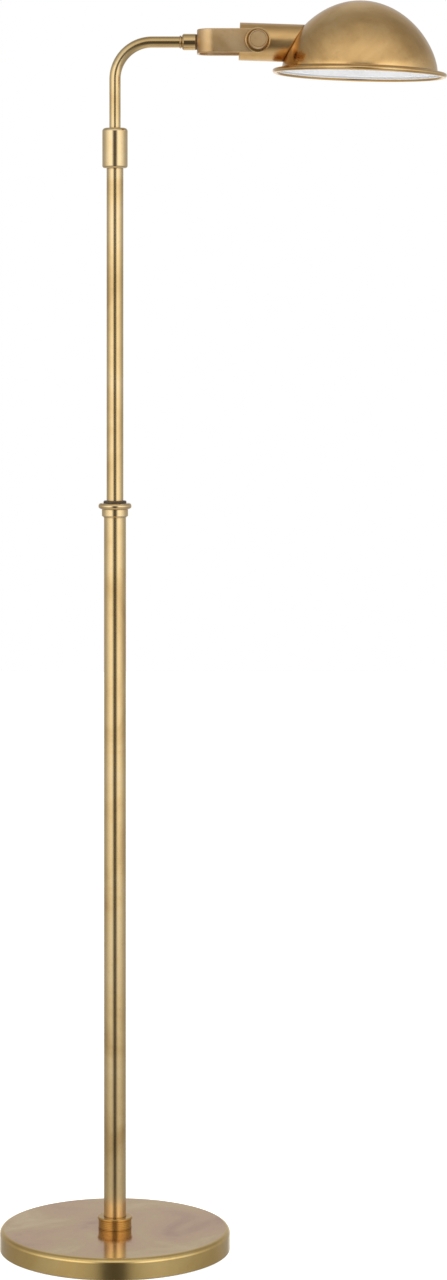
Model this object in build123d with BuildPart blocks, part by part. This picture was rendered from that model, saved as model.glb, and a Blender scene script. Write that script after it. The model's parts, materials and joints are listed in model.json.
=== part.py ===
# Brass pharmacy floor lamp: a weighted round base, a telescoping column, a swivelling
# gooseneck arm, and a domed shade on a tilting lamp housing held in a strap yoke.
# Millimetres.  Origin on the floor at the column's axis, +Z up, +X towards the shade.

import os
from math import cos, radians, sin, sqrt

from build123d import *

os.makedirs("parts", exist_ok=True)

# ---------------------------------------------------------------- driving dimensions

# fits and edges
RUN = 0.05                # radial clearance of a part that turns or slides in another
LOOSE = 0.5               # plain clearance between parts that never touch
CUT = 2.0                 # how far a cutter overruns what it cuts
EDGE_SHARE = 0.4          # share of a thin lip's thickness that its rounded edge takes

# base
BASE_R = 130.0
BASE_H = 24.0
BASE_EDGE_R = 5.0
SHELL_T = 1.5
SKIRT_GAP = 1.0           # the shell's skirt stands this far off the floor
PAD_T = 2.5

# tubes, from the arm outwards: each one clears what works inside it
ARM_R = 6.35
ARM_WALL = 1.2
SWIVEL_ROOM = 3.35        # round the arm's stem, for the swivel's nut and stop pin
UPPER_WALL = 1.0
COLLET_WALL = 1.5
COLLET_PLAY = 0.3
LOWER_WALL = 1.2
LOWER_TOP = 831.0
UPPER_OVERLAP = 81.0      # length of the upper tube that stays inside the lower one
UPPER_SHOWN = 375.4       # between the clamp and the swivel collar

# foot collar
FOOT_WALL = 6.15
FOOT_LIP = 1.1            # the lip stands out this far
FOOT_LIP_H = 2.2
FOOT_H = 13.0
FOOT_GROOVES = 5
FOOT_GROOVE_PITCH = 2.0
FOOT_GROOVE_START = 0.7   # the first groove's height, in pitches
FOOT_GROOVE_W = 0.6
FOOT_GROOVE_DEPTH = 0.4

# twist clamp at the top of the lower tube
NECK_WALL = 2.4
NECK_SOCKET = 5.0         # depth of the socket over the lower tube
NECK_H = 9.6
NECK_TAPER = 2.0
THREAD_WALL = 0.7
THREAD_SHORT = 1.5        # the thread ends this far below the ring's top
RING_PROUD = 3.85
RING_H = 6.7
RING_ROUND = 0.48         # share of the ring's height rounded above and below
COLLET_LIP = 1.95
COLLET_LIP_H = 2.6
COLLET_BELOW = 19.0       # how far the collet reaches down inside the lower tube
COLLET_SLOT = 1.0

# guide bush on the foot of the upper tube
BUSH_H = 24.0
BUSH_LIP = 2.0

# swivel collar on top of the upper tube
SWIVEL_WALL = 4.9
SWIVEL_H = 45.8
SWIVEL_SOCKET = 20.0
SWIVEL_WEB = 5.0
SWIVEL_TOP_FILLET = 4.0
SWIVEL_FOOT_FILLET = 3.0

# threaded hollow rods, their nuts and washers
ROD_PLAY = 0.15           # rod inside the arm tube
ROD_WALL = 1.6
LEAD_PLAY = 0.4           # lead inside the rod
NUT_WALL = 1.5            # from thread to flat
NUT_H = 6.0
WASHER_T = 1.0
WASHER_PROUD = 1.5        # a washer stands out this far from its nut's flats

# arm
ARM_BEND_R = 42.0
ARM_RISE = 116.8          # from the arm's foot to its level axis
ARM_BEAD = 1.05
ARM_BEAD_W = 2.0
ARM_BEAD_GAP = 1.0
FERRULE_X = 76.0
FERRULE_L = 15.0
FERRULE_WALL = 2.9
FERRULE_SOCKET = 10.0     # the arm enters the ferrule this far
FERRULE_CHAMFER = 1.4
SPACER_T = 1.7            # dark washer between ferrule and yoke
SPACER_INSET = 0.45

# tilting head, seen from the pivot: x along the housing, z up
HEAD_DROOP = 1.9          # degrees, shade end down, at rest
HOUSING_R = 21.4
HOUSING_WALL = 1.6
HOUSING_BACK = 20.0       # length behind the pivot
CAP_T = 4.0
HUB_WALL = 2.0
FIBRE_T = 1.0             # friction washers between hubs and yoke

# yoke
YOKE_ROOM = 4.6           # between the housing and each leg
YOKE_T = 3.0
YOKE_H = 27.0
YOKE_FLAT = 1.2           # flat of the yoke's back round the spacer
YOKE_EDGE_R = 1.0
YOKE_REACH = 67.9         # from the yoke's back to the pivot

# pivot hardware and dimmer
FIBRE_INSET = 1.5
FLANGE_PROUD = 0.7
FLANGE_T = 4.0
FLANGE_RIM = 2.3
DISH_DEPTH = 1.5
KNOB_INSET = 1.3
KNOB_REACH = 21.0         # knob's face beyond the yoke
KNOB_CHAMFER = 0.9
SHAFT_R = 3.0
SHAFT_SHORT = 4.0         # the shaft ends this far inside the knob's face
DIMMER_OVER = 2.2         # width of the dimmer's body beyond the housing's inner radius
DIMMER_DEPTH = 13.0

# shade
SHADE_REACH = 29.0        # from the pivot to the back of the dome
RIM_DROP = 34.4           # rim plane below the pivot
DOME_R = 88.0
DOME_H = 85.1
DOME_POWER = 1.25         # 1 would be a true ellipse
DOME_STEPS = 10
LIP_W = 10.5
LIP_H = 5.9
SHADE_T = 1.2
ROLL_R = 2.7              # rolled edge of the lip

# lampholder and bulb, along the housing
HOLDER_PLATE_X = 16.0
HOLDER_PLATE_T = 3.0
HOLDER_GAP = 1.4
HOLDER_WALL = 3.9
HOLDER_L = 31.0
SHELL_WALL = 0.5          # screw shell
SHELL_SHORT = 2.0         # the shell stops short of the holder's mouth
BULB_R = 24.0
BULB_L = 64.0             # glass, from the lampholder's mouth to the tip
BULB_WALL = 0.8

# ------------------------------------------------------------------- places worked out

ARM_INNER = ARM_R - ARM_WALL
ROD_R = ARM_INNER - ROD_PLAY
ROD_BORE = ROD_R - ROD_WALL
LEAD_R = ROD_BORE - LEAD_PLAY
UPPER_INNER = ARM_INNER + SWIVEL_ROOM
UPPER_R = UPPER_INNER + UPPER_WALL
COLLET_R = UPPER_R + COLLET_WALL
LOWER_INNER = COLLET_R + COLLET_PLAY
LOWER_R = LOWER_INNER + LOWER_WALL
FOOT_R = LOWER_R + FOOT_WALL
FOOT_TOP = BASE_H + FOOT_H
NECK_R = LOWER_R + NECK_WALL
THREAD_R = LOWER_R + THREAD_WALL
NECK_Z = LOWER_TOP - NECK_SOCKET
RING_Z = NECK_Z + NECK_H
COLLET_LIP_Z = RING_Z + RING_H + 2 * RUN
COLLET_TOP = COLLET_LIP_Z + COLLET_LIP_H
SWIVEL_R = UPPER_R + SWIVEL_WALL
SWIVEL_Z = COLLET_TOP + UPPER_SHOWN
UPPER_TOP = SWIVEL_Z + SWIVEL_SOCKET
UPPER_FOOT = LOWER_TOP - UPPER_OVERLAP
WEB_TOP = UPPER_TOP + SWIVEL_WEB
ARM_FOOT = WEB_TOP + WASHER_T
ARM_AXIS_Z = ARM_FOOT + ARM_RISE
ARM_END_X = FERRULE_X + FERRULE_SOCKET
ARM_BEAD_X = FERRULE_X - ARM_BEAD_GAP - ARM_BEAD_W
FERRULE_R = ARM_R + FERRULE_WALL
SPACER_R = FERRULE_R - SPACER_INSET
HOUSING_INNER = HOUSING_R - HOUSING_WALL
YOKE_X = FERRULE_X + FERRULE_L + SPACER_T
YOKE_INNER_X = YOKE_X + YOKE_T
YOKE_INNER_Y = HOUSING_R + YOKE_ROOM
YOKE_HALF_W = YOKE_INNER_Y + YOKE_T
YOKE_CORNER_R = YOKE_HALF_W - SPACER_R - YOKE_FLAT
LEG_END_R = YOKE_H / 2
PIVOT_X = YOKE_X + YOKE_REACH
HUB_R = ROD_R + HUB_WALL
HUB_Y = YOKE_INNER_Y - FIBRE_T
FIBRE_R = LEG_END_R - FIBRE_INSET
FLANGE_R = LEG_END_R + FLANGE_PROUD
DISH_R = FLANGE_R - FLANGE_RIM
KNOB_R = DISH_R - KNOB_INSET
KNOB_FACE_Y = YOKE_HALF_W + KNOB_REACH
SHADE_X = DOME_R + SHADE_REACH
LIP_R = DOME_R + LIP_W
HOLDER_R = HOUSING_INNER - HOLDER_GAP
SHELL_R = HOLDER_R - HOLDER_WALL

HEAD = Plane(
    origin=(PIVOT_X, 0, ARM_AXIS_Z),
    x_dir=(cos(radians(HEAD_DROOP)), 0, -sin(radians(HEAD_DROOP))),
    z_dir=(sin(radians(HEAD_DROOP)), 0, cos(radians(HEAD_DROOP))),
)
ARM = Plane(origin=(0, 0, ARM_AXIS_Z), x_dir=(1, 0, 0), z_dir=(0, 0, 1))

# --------------------------------------------------------------------- shared features


def level(z):
    """The horizontal plane at height z, centred on the column."""
    return Plane.XY.offset(z)


def across(frame, x):
    """The plane square to a frame's x axis, x along it, facing +x."""
    return Plane(origin=frame.from_local_coords((x, 0, 0)), x_dir=frame.y_dir, z_dir=frame.x_dir)


def sideways(frame, y):
    """The plane square to a frame's y axis at y, facing away from the frame's middle."""
    out = frame.y_dir if y > 0 else frame.y_dir * -1
    return Plane(origin=frame.from_local_coords((0, y, 0)), x_dir=frame.x_dir, z_dir=out)


def lengthwise(frame, x=0, z=0):
    """The upright plane through a frame's x axis: u along x, v up."""
    return Plane(origin=frame.from_local_coords((x, 0, z)), x_dir=frame.x_dir, z_dir=frame.y_dir * -1)


def ring(plane, outer, inner, height):
    """A plain ring or washer standing on a plane."""
    with BuildSketch(plane) as outline:
        Circle(outer)
        if inner > 0:
            Circle(inner, mode=Mode.SUBTRACT)
    extrude(outline.sketch, amount=height)


def bore(plane, radius, depth):
    """A round hole cut from a plane into what stands on it."""
    with BuildSketch(plane) as outline:
        Circle(radius)
    extrude(outline.sketch, amount=depth, mode=Mode.SUBTRACT)


def hex_nut(plane, wall, inner, height):
    """A hexagon nut whose flats stand a wall's thickness off its thread."""
    with BuildSketch(plane) as outline:
        RegularPolygon(inner + wall, 6, major_radius=False)
        Circle(inner, mode=Mode.SUBTRACT)
    extrude(outline.sketch, amount=height)


# =============================================================================== BASE

PAD_R = BASE_R - SHELL_T - LOOSE
WEIGHT_TOP = BASE_H - SHELL_T
WEIGHT_EDGE_R = BASE_EDGE_R - SHELL_T + LOOSE
FOOT_NUT_WALL = 3.0
FOOT_WASHER_R = ROD_R + 7.0
FOOT_WASHER_T = 2.0
POCKET_R = FOOT_WASHER_R + 4.0    # recess under the weight for the clamping nut
POCKET_TOP = 12.5
CHANNEL_W = 13.0          # way for the lead, under the weight
CHANNEL_TOP = 15.0
GLAND_Z = 8.5
GLAND_R = 5.5
GLAND_FLANGE_R = 6.8
GLAND_FLANGE_T = 1.5
GLAND_INNER_L = 14.0
GLAND_BORE = 3.3

with BuildPart() as base_shell:
    ring(level(SKIRT_GAP), BASE_R, 0, BASE_H - SKIRT_GAP)
    fillet(base_shell.edges().group_by(Axis.Z)[-1], radius=BASE_EDGE_R)
    offset(amount=-SHELL_T, openings=base_shell.faces().sort_by(Axis.Z)[0])
    bore(level(WEIGHT_TOP - CUT), ROD_R + RUN, SHELL_T + 2 * CUT)
    bore(Plane(origin=(0, BASE_R - SHELL_T - CUT, GLAND_Z), z_dir=(0, 1, 0)), GLAND_R, SHELL_T + 2 * CUT)
base_shell.part.label = "base_shell"
export_step(base_shell.part, "parts/base_shell.step")

with BuildPart() as base_weight:
    ring(level(PAD_T), PAD_R, 0, WEIGHT_TOP - PAD_T)
    fillet(base_weight.edges().group_by(Axis.Z)[-1], radius=WEIGHT_EDGE_R)
    bore(level(PAD_T), POCKET_R, POCKET_TOP - PAD_T)
    bore(level(PAD_T), ROD_R + RUN, BASE_H)
    with BuildSketch(level(PAD_T)):
        with Locations((0, (BASE_R + CUT) / 2)):
            Rectangle(CHANNEL_W, BASE_R + CUT)
    extrude(amount=CHANNEL_TOP - PAD_T, mode=Mode.SUBTRACT)
base_weight.part.label = "base_weight"
export_step(base_weight.part, "parts/base_weight.step")

with BuildPart() as base_pad:
    ring(level(0), PAD_R, 0, PAD_T)
    fillet(base_pad.edges().group_by(Axis.Z)[0], radius=SKIRT_GAP)
base_pad.part.label = "base_pad"
export_step(base_pad.part, "parts/base_pad.step")

with BuildPart() as cord_gland:
    ring(Plane(origin=(0, BASE_R - GLAND_INNER_L, GLAND_Z), z_dir=(0, 1, 0)), GLAND_R, 0, GLAND_INNER_L)
    ring(Plane(origin=(0, BASE_R, GLAND_Z), z_dir=(0, 1, 0)), GLAND_FLANGE_R, 0, GLAND_FLANGE_T)
    fillet(cord_gland.edges().group_by(Axis.Y)[-1], radius=GLAND_FLANGE_T * EDGE_SHARE)
    bore(Plane(origin=(0, BASE_R - GLAND_INNER_L, GLAND_Z), z_dir=(0, 1, 0)),
         GLAND_BORE, GLAND_INNER_L + GLAND_FLANGE_T)
cord_gland.part.label = "cord_gland"
export_step(cord_gland.part, "parts/cord_gland.step")

# A hollow threaded rod runs up through the weight and the shell into a plug in the
# lower tube, and one nut under the weight clamps the whole foot together.
THREAD_OVER = 1.0         # a rod shows this much thread beyond its nut
PLUG_H = 20.0
PLUG_CHAMFER = 1.0
ROD_FOOT = POCKET_TOP - FOOT_WASHER_T - NUT_H - THREAD_OVER
ROD_TOP = BASE_H + PLUG_H + THREAD_OVER

with BuildPart() as column_rod:
    ring(level(ROD_FOOT), ROD_R, ROD_BORE, ROD_TOP - ROD_FOOT)
column_rod.part.label = "column_rod"
export_step(column_rod.part, "parts/column_rod.step")

with BuildPart() as column_washer:
    ring(level(POCKET_TOP - FOOT_WASHER_T), FOOT_WASHER_R, ROD_R + RUN, FOOT_WASHER_T)
column_washer.part.label = "column_washer"
export_step(column_washer.part, "parts/column_washer.step")

with BuildPart() as column_nut:
    hex_nut(level(POCKET_TOP - FOOT_WASHER_T - NUT_H), FOOT_NUT_WALL, ROD_R, NUT_H)
column_nut.part.label = "column_nut"
export_step(column_nut.part, "parts/column_nut.step")

# ============================================================================= COLUMN

with BuildPart() as column_plug:
    ring(level(BASE_H), LOWER_INNER, ROD_R, PLUG_H)
    chamfer(column_plug.edges().group_by(Axis.Z)[-1].sort_by(SortBy.RADIUS)[-1], length=PLUG_CHAMFER)
column_plug.part.label = "column_plug"
export_step(column_plug.part, "parts/column_plug.step")

with BuildPart() as foot_collar:
    ring(level(BASE_H), FOOT_R, 0, FOOT_H)
    ring(level(FOOT_TOP - FOOT_LIP_H), FOOT_R + FOOT_LIP, 0, FOOT_LIP_H)
    fillet(foot_collar.edges().group_by(Axis.Z)[-1], radius=FOOT_LIP_H * EDGE_SHARE)
    for groove in range(FOOT_GROOVES):
        groove_z = BASE_H + FOOT_GROOVE_PITCH * (groove + FOOT_GROOVE_START)
        with BuildSketch(level(groove_z)):
            Circle(FOOT_R + CUT)
            Circle(FOOT_R - FOOT_GROOVE_DEPTH, mode=Mode.SUBTRACT)
        extrude(amount=FOOT_GROOVE_W, mode=Mode.SUBTRACT)
    bore(level(BASE_H), LOWER_R + RUN, FOOT_H)
foot_collar.part.label = "foot_collar"
export_step(foot_collar.part, "parts/foot_collar.step")

with BuildPart() as lower_tube:
    ring(level(BASE_H), LOWER_R, LOWER_INNER, LOWER_TOP - BASE_H)
lower_tube.part.label = "lower_tube"
export_step(lower_tube.part, "parts/lower_tube.step")

# Twist clamp: the collar is fixed on the tube, the collet stands in it, and the ring
# turns on the collar's thread to close the collet on the upper tube.
THREAD_TOP = RING_Z + RING_H - THREAD_SHORT

with BuildPart() as clamp_collar:
    ring(level(NECK_Z), NECK_R, 0, NECK_H)
    chamfer(clamp_collar.edges().group_by(Axis.Z)[0], length=NECK_TAPER)
    ring(level(RING_Z), THREAD_R, 0, THREAD_TOP - RING_Z)
    bore(level(NECK_Z), LOWER_R + RUN, NECK_SOCKET)
    bore(level(NECK_Z), COLLET_R + RUN, THREAD_TOP - NECK_Z)
clamp_collar.part.label = "clamp_collar"
export_step(clamp_collar.part, "parts/clamp_collar.step")

with BuildPart() as clamp_ring:
    ring(level(RING_Z), NECK_R + RING_PROUD, 0, RING_H)
    fillet(clamp_ring.edges(), radius=RING_H * RING_ROUND)
    bore(level(RING_Z), THREAD_R + RUN, THREAD_TOP + 2 * RUN - RING_Z)
    bore(level(RING_Z), COLLET_R + LOOSE, RING_H)
clamp_ring.part.label = "clamp_ring"
export_step(clamp_ring.part, "parts/clamp_ring.step")

COLLET_FOOT = LOWER_TOP - COLLET_BELOW

with BuildPart() as clamp_collet:
    ring(level(COLLET_FOOT), COLLET_R, 0, COLLET_LIP_Z - COLLET_FOOT)
    ring(level(COLLET_LIP_Z), COLLET_R + COLLET_LIP, 0, COLLET_LIP_H)
    fillet(clamp_collet.edges().group_by(Axis.Z)[-1], radius=COLLET_LIP_H * EDGE_SHARE)
    bore(level(COLLET_FOOT), UPPER_R + RUN, COLLET_TOP - COLLET_FOOT)
    with BuildSketch(level(COLLET_FOOT)):
        with Locations((0, COLLET_R)):
            Rectangle(COLLET_SLOT, COLLET_R)
    extrude(amount=COLLET_TOP - COLLET_FOOT, mode=Mode.SUBTRACT)
clamp_collet.part.label = "clamp_collet"
export_step(clamp_collet.part, "parts/clamp_collet.step")

with BuildPart() as upper_tube:
    ring(level(UPPER_FOOT), UPPER_R, UPPER_INNER, UPPER_TOP - UPPER_FOOT)
upper_tube.part.label = "upper_tube"
export_step(upper_tube.part, "parts/upper_tube.step")

with BuildPart() as guide_bush:
    ring(level(UPPER_FOOT - BUSH_LIP), LOWER_INNER - RUN, UPPER_INNER, BUSH_H)
    bore(level(UPPER_FOOT), UPPER_R, BUSH_H)
guide_bush.part.label = "guide_bush"
export_step(guide_bush.part, "parts/guide_bush.step")

# ====================================================================== ARM SWIVEL

PIN_R = 0.8               # stop pins
PIN_GAP = 0.4             # stop pin to the inside of the upper tube
PIN_ORBIT = UPPER_INNER - PIN_GAP - PIN_R
PIN_END = UPPER_TOP + 3.0
STOP_T = 1.4
STOP_TAB_W = 2.4
STOP_HUB_R = PIN_ORBIT - PIN_R - PIN_GAP / 2
SPRING_Z = UPPER_TOP - WASHER_T
STOP_Z = SPRING_Z - STOP_T
STEM_FOOT = STOP_Z - NUT_H - CUT
STEM_SPIGOT = 16.0        # the stem stands this far up inside the arm
SCREW_R = 2.0             # grub screws

with BuildPart() as swivel_collar:
    ring(level(SWIVEL_Z), SWIVEL_R, 0, SWIVEL_H)
    fillet(swivel_collar.edges().group_by(Axis.Z)[-1], radius=SWIVEL_TOP_FILLET)
    fillet(swivel_collar.edges().group_by(Axis.Z)[0], radius=SWIVEL_FOOT_FILLET)
    bore(level(SWIVEL_Z), UPPER_R, SWIVEL_SOCKET)
    bore(level(SWIVEL_Z), ARM_INNER + RUN, SWIVEL_H)
    bore(level(WEB_TOP), ARM_R + RUN, SWIVEL_H)
    with BuildSketch(level(UPPER_TOP)):
        with Locations((PIN_ORBIT, 0)):
            Circle(PIN_R)
    extrude(amount=PIN_END - UPPER_TOP, mode=Mode.SUBTRACT)
    with BuildSketch(Plane(origin=(0, UPPER_R, SWIVEL_Z + SWIVEL_SOCKET / 2), z_dir=(0, 1, 0))):
        Circle(SCREW_R)
    extrude(amount=SWIVEL_R, mode=Mode.SUBTRACT)
swivel_collar.part.label = "swivel_collar"
export_step(swivel_collar.part, "parts/swivel_collar.step")

with BuildPart() as collar_screw:
    ring(Plane(origin=(0, UPPER_R, SWIVEL_Z + SWIVEL_SOCKET / 2), z_dir=(0, 1, 0)),
         SCREW_R, 0, SWIVEL_R - UPPER_R - LOOSE)
    with BuildSketch(collar_screw.faces().sort_by(Axis.Y)[-1]):
        RegularPolygon(SCREW_R / 2, 6)
    extrude(amount=-SCREW_R, mode=Mode.SUBTRACT)
collar_screw.part.label = "collar_screw"
export_step(collar_screw.part, "parts/collar_screw.step")

with BuildPart() as stop_pin:
    with BuildSketch(level(STOP_Z + RUN)):
        with Locations((PIN_ORBIT, 0)):
            Circle(PIN_R)
    extrude(amount=PIN_END - STOP_Z - RUN)
stop_pin.part.label = "stop_pin"
export_step(stop_pin.part, "parts/stop_pin.step")

with BuildPart() as swivel_stem:
    ring(level(STEM_FOOT), ARM_INNER, ROD_BORE, ARM_FOOT + STEM_SPIGOT - STEM_FOOT)
swivel_stem.part.label = "swivel_stem"
export_step(swivel_stem.part, "parts/swivel_stem.step")

with BuildPart() as thrust_washer:
    ring(level(WEB_TOP), ARM_R - RUN, ARM_INNER, WASHER_T)
thrust_washer.part.label = "thrust_washer"
export_step(thrust_washer.part, "parts/thrust_washer.step")

with BuildPart() as spring_washer:
    ring(level(SPRING_Z), STOP_HUB_R, ARM_INNER, WASHER_T)
spring_washer.part.label = "spring_washer"
export_step(spring_washer.part, "parts/spring_washer.step")

with BuildPart() as stop_washer:
    with BuildSketch(level(STOP_Z)):
        Circle(STOP_HUB_R)
        with Locations((-(PIN_ORBIT + PIN_R) / 2, 0)):
            Rectangle(PIN_ORBIT + PIN_R, STOP_TAB_W)
        Circle(ARM_INNER, mode=Mode.SUBTRACT)
    extrude(amount=STOP_T)
stop_washer.part.label = "stop_washer"
export_step(stop_washer.part, "parts/stop_washer.step")

with BuildPart() as stem_nut:
    hex_nut(level(STOP_Z - NUT_H), NUT_WALL, ARM_INNER, NUT_H)
stem_nut.part.label = "stem_nut"
export_step(stem_nut.part, "parts/stem_nut.step")

# ================================================================================ ARM


def arm_path(foot, end):
    """The arm's centreline: up from its foot, round the bend and out to its end."""
    with BuildLine(Plane.XZ) as line:
        FilletPolyline((0, foot), (0, ARM_AXIS_Z), (end, ARM_AXIS_Z), radius=ARM_BEND_R)
    return line.line


with BuildPart() as arm_tube:
    tube_line = arm_path(ARM_FOOT, ARM_END_X)
    with BuildSketch(level(ARM_FOOT)):
        Circle(ARM_R)
        Circle(ARM_INNER, mode=Mode.SUBTRACT)
    sweep(path=tube_line)
arm_tube.part.label = "arm_tube"
export_step(arm_tube.part, "parts/arm_tube.step")

LEAD_OUT = 10.0           # the lead shows this far beyond the hardware at both ends
LEAD_FOOT = STEM_FOOT - LEAD_OUT
YOKE_NUT_H = 5.0
YOKE_NUT_X = YOKE_INNER_X + WASHER_T
YOKE_ROD_END = YOKE_NUT_X + YOKE_NUT_H + THREAD_OVER

with BuildPart() as arm_lead:
    lead_line = arm_path(LEAD_FOOT, YOKE_ROD_END + LEAD_OUT / 2)
    with BuildSketch(level(LEAD_FOOT)):
        Circle(LEAD_R)
    sweep(path=lead_line)
arm_lead.part.label = "arm_lead"
export_step(arm_lead.part, "parts/arm_lead.step")

with BuildPart() as arm_bead:
    ring(across(ARM, ARM_BEAD_X), ARM_R + ARM_BEAD, 0, ARM_BEAD_W)
    fillet(arm_bead.edges(), radius=ARM_BEAD_W * EDGE_SHARE)
    bore(across(ARM, ARM_BEAD_X), ARM_R, ARM_BEAD_W)
arm_bead.part.label = "arm_bead"
export_step(arm_bead.part, "parts/arm_bead.step")

# The ferrule closes the arm.  A hollow rod through it carries the yoke, which rolls
# on the rod; a pin in the ferrule runs in a half-round slot to stop the roll.
ROLL_PIN_R = 1.0
ROLL_SLOT_R = 1.2         # half the width of the half-round slot that the pin runs in
ROLL_PIN_ORBIT = (ROD_R + SPACER_R) / 2 + LOOSE
ROLL_PIN_SEAT = 4.0       # depth of the pin's hole in the ferrule
ROLL_PIN_X = FERRULE_X + FERRULE_L - ROLL_PIN_SEAT
YOKE_ROD_FOOT = FERRULE_X + CUT

with BuildPart() as arm_ferrule:
    ring(across(ARM, FERRULE_X), FERRULE_R, 0, FERRULE_L)
    chamfer(arm_ferrule.edges().group_by(Axis.X)[0], length=FERRULE_CHAMFER)
    fillet(arm_ferrule.edges().group_by(Axis.X)[-1], radius=LOOSE)
    bore(across(ARM, FERRULE_X), ARM_R, ARM_END_X - FERRULE_X)
    bore(across(ARM, FERRULE_X), ROD_R, FERRULE_L)
    with BuildSketch(across(ARM, ROLL_PIN_X)):
        with Locations((0, ROLL_PIN_ORBIT)):
            Circle(ROLL_PIN_R)
    extrude(amount=FERRULE_L, mode=Mode.SUBTRACT)
arm_ferrule.part.label = "arm_ferrule"
export_step(arm_ferrule.part, "parts/arm_ferrule.step")

with BuildPart() as yoke_rod:
    ring(across(ARM, YOKE_ROD_FOOT), ROD_R, ROD_BORE, YOKE_ROD_END - YOKE_ROD_FOOT)
yoke_rod.part.label = "yoke_rod"
export_step(yoke_rod.part, "parts/yoke_rod.step")

with BuildPart() as yoke_spacer:
    ring(across(ARM, FERRULE_X + FERRULE_L), SPACER_R, ROD_R, SPACER_T)
    with BuildSketch(across(ARM, FERRULE_X + FERRULE_L)):
        with Locations((0, ROLL_PIN_ORBIT)):
            Circle(ROLL_PIN_R)
    extrude(amount=SPACER_T, mode=Mode.SUBTRACT)
yoke_spacer.part.label = "yoke_spacer"
export_step(yoke_spacer.part, "parts/yoke_spacer.step")

with BuildPart() as roll_pin:
    with BuildSketch(across(ARM, ROLL_PIN_X)):
        with Locations((0, ROLL_PIN_ORBIT)):
            Circle(ROLL_PIN_R)
    extrude(amount=YOKE_INNER_X - LOOSE - ROLL_PIN_X)
roll_pin.part.label = "roll_pin"
export_step(roll_pin.part, "parts/roll_pin.step")

with BuildPart() as yoke_washer:
    ring(across(ARM, YOKE_INNER_X), ROD_R + NUT_WALL + WASHER_PROUD, ROD_R, WASHER_T)
yoke_washer.part.label = "yoke_washer"
export_step(yoke_washer.part, "parts/yoke_washer.step")

with BuildPart() as yoke_nut:
    hex_nut(across(ARM, YOKE_NUT_X), NUT_WALL, ROD_R, YOKE_NUT_H)
yoke_nut.part.label = "yoke_nut"
export_step(yoke_nut.part, "parts/yoke_nut.step")

# =============================================================================== YOKE

with BuildPart() as yoke:
    with BuildSketch(ARM):
        with BuildLine():
            strap = FilletPolyline(
                (PIVOT_X + LEG_END_R, -YOKE_HALF_W), (YOKE_X, -YOKE_HALF_W),
                (YOKE_X, YOKE_HALF_W), (PIVOT_X + LEG_END_R, YOKE_HALF_W),
                radius=YOKE_CORNER_R,
            )
            Line(strap @ 1, strap @ 0)
        make_face()
        with BuildLine():
            inside = FilletPolyline(
                (PIVOT_X + LEG_END_R, -YOKE_INNER_Y), (YOKE_INNER_X, -YOKE_INNER_Y),
                (YOKE_INNER_X, YOKE_INNER_Y), (PIVOT_X + LEG_END_R, YOKE_INNER_Y),
                radius=YOKE_CORNER_R - YOKE_T,
            )
            Line(inside @ 1, inside @ 0)
        make_face(mode=Mode.SUBTRACT)
    extrude(amount=YOKE_H / 2, both=True)
    with BuildSketch(lengthwise(ARM)):
        with Locations(((YOKE_X + PIVOT_X) / 2, 0)):
            Rectangle(PIVOT_X - YOKE_X, YOKE_H)
        with Locations((PIVOT_X, 0)):
            Circle(LEG_END_R)
    extrude(amount=YOKE_HALF_W + CUT, both=True, mode=Mode.INTERSECT)
    fillet(yoke.edges(), radius=YOKE_EDGE_R)
    bore(across(ARM, YOKE_X - CUT), ROD_R + RUN, YOKE_T + 2 * CUT)
    with BuildSketch(across(ARM, YOKE_X - CUT)):
        Circle(ROLL_PIN_ORBIT + ROLL_SLOT_R)
        Circle(ROLL_PIN_ORBIT - ROLL_SLOT_R, mode=Mode.SUBTRACT)
        with Locations((0, ROLL_PIN_ORBIT)):
            Rectangle(2 * (ROLL_PIN_ORBIT + ROLL_SLOT_R), 2 * ROLL_PIN_ORBIT, mode=Mode.INTERSECT)
        with GridLocations(2 * ROLL_PIN_ORBIT, 0, 2, 1):
            Circle(ROLL_SLOT_R)
    extrude(amount=YOKE_T + 2 * CUT, mode=Mode.SUBTRACT)
    with BuildSketch(Plane(origin=(PIVOT_X, -YOKE_HALF_W - CUT, ARM_AXIS_Z), z_dir=(0, 1, 0))):
        Circle(ROD_R + RUN)
    extrude(amount=2 * (YOKE_HALF_W + CUT), mode=Mode.SUBTRACT)
yoke.part.label = "yoke"
export_step(yoke.part, "parts/yoke.step")

# =============================================================================== HEAD


def dome_half(height, radius, foot):
    """Half the dome's section, a flattened ellipse from the crown out and down to its foot.

    A point at angle a from the crown stands radius * sin(a) out from the axis and
    (height - foot) * cos(a) ** DOME_POWER above the foot.
    """
    turns = [radians(90 * step / DOME_STEPS) for step in range(DOME_STEPS)]
    points = [(radius * sin(a), foot + (height - foot) * cos(a) ** DOME_POWER) for a in turns]
    with BuildLine() as half:
        flank = Spline(*points, (radius, foot), tangents=((1, 0), (0, -1)))
        Polyline(flank @ 1, (0, foot), flank @ 0)
    return half.edges()


DOME_SECTION = lengthwise(HEAD, SHADE_X, -RIM_DROP)
DOME_AXIS = Axis(DOME_SECTION.origin, HEAD.z_dir)

with BuildPart() as dome_solid:
    with BuildSketch(DOME_SECTION):
        make_face(dome_half(DOME_H, DOME_R, LIP_H))
    revolve(axis=DOME_AXIS)

with BuildPart() as shade:
    with BuildSketch(DOME_SECTION):
        make_face(dome_half(DOME_H, DOME_R, LIP_H))
        make_face(dome_half(DOME_H - SHADE_T, DOME_R - SHADE_T, LIP_H), mode=Mode.SUBTRACT)
        with BuildLine():
            Polyline((DOME_R - SHADE_T, LIP_H), (DOME_R, LIP_H),
                     (LIP_R - ROLL_R, 2 * ROLL_R - RUN),
                     (LIP_R - ROLL_R, 2 * ROLL_R - SHADE_T),
                     (DOME_R - SHADE_T, LIP_H - SHADE_T), close=True)
        make_face()
        with Locations((LIP_R - ROLL_R, ROLL_R)):
            Circle(ROLL_R)
    revolve(axis=DOME_AXIS)
    with BuildSketch(across(HEAD, 0)):
        Circle(HOUSING_INNER)
    extrude(amount=SHADE_X, mode=Mode.SUBTRACT)
shade.part.label = "shade"
export_step(shade.part, "parts/shade.step")

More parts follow.
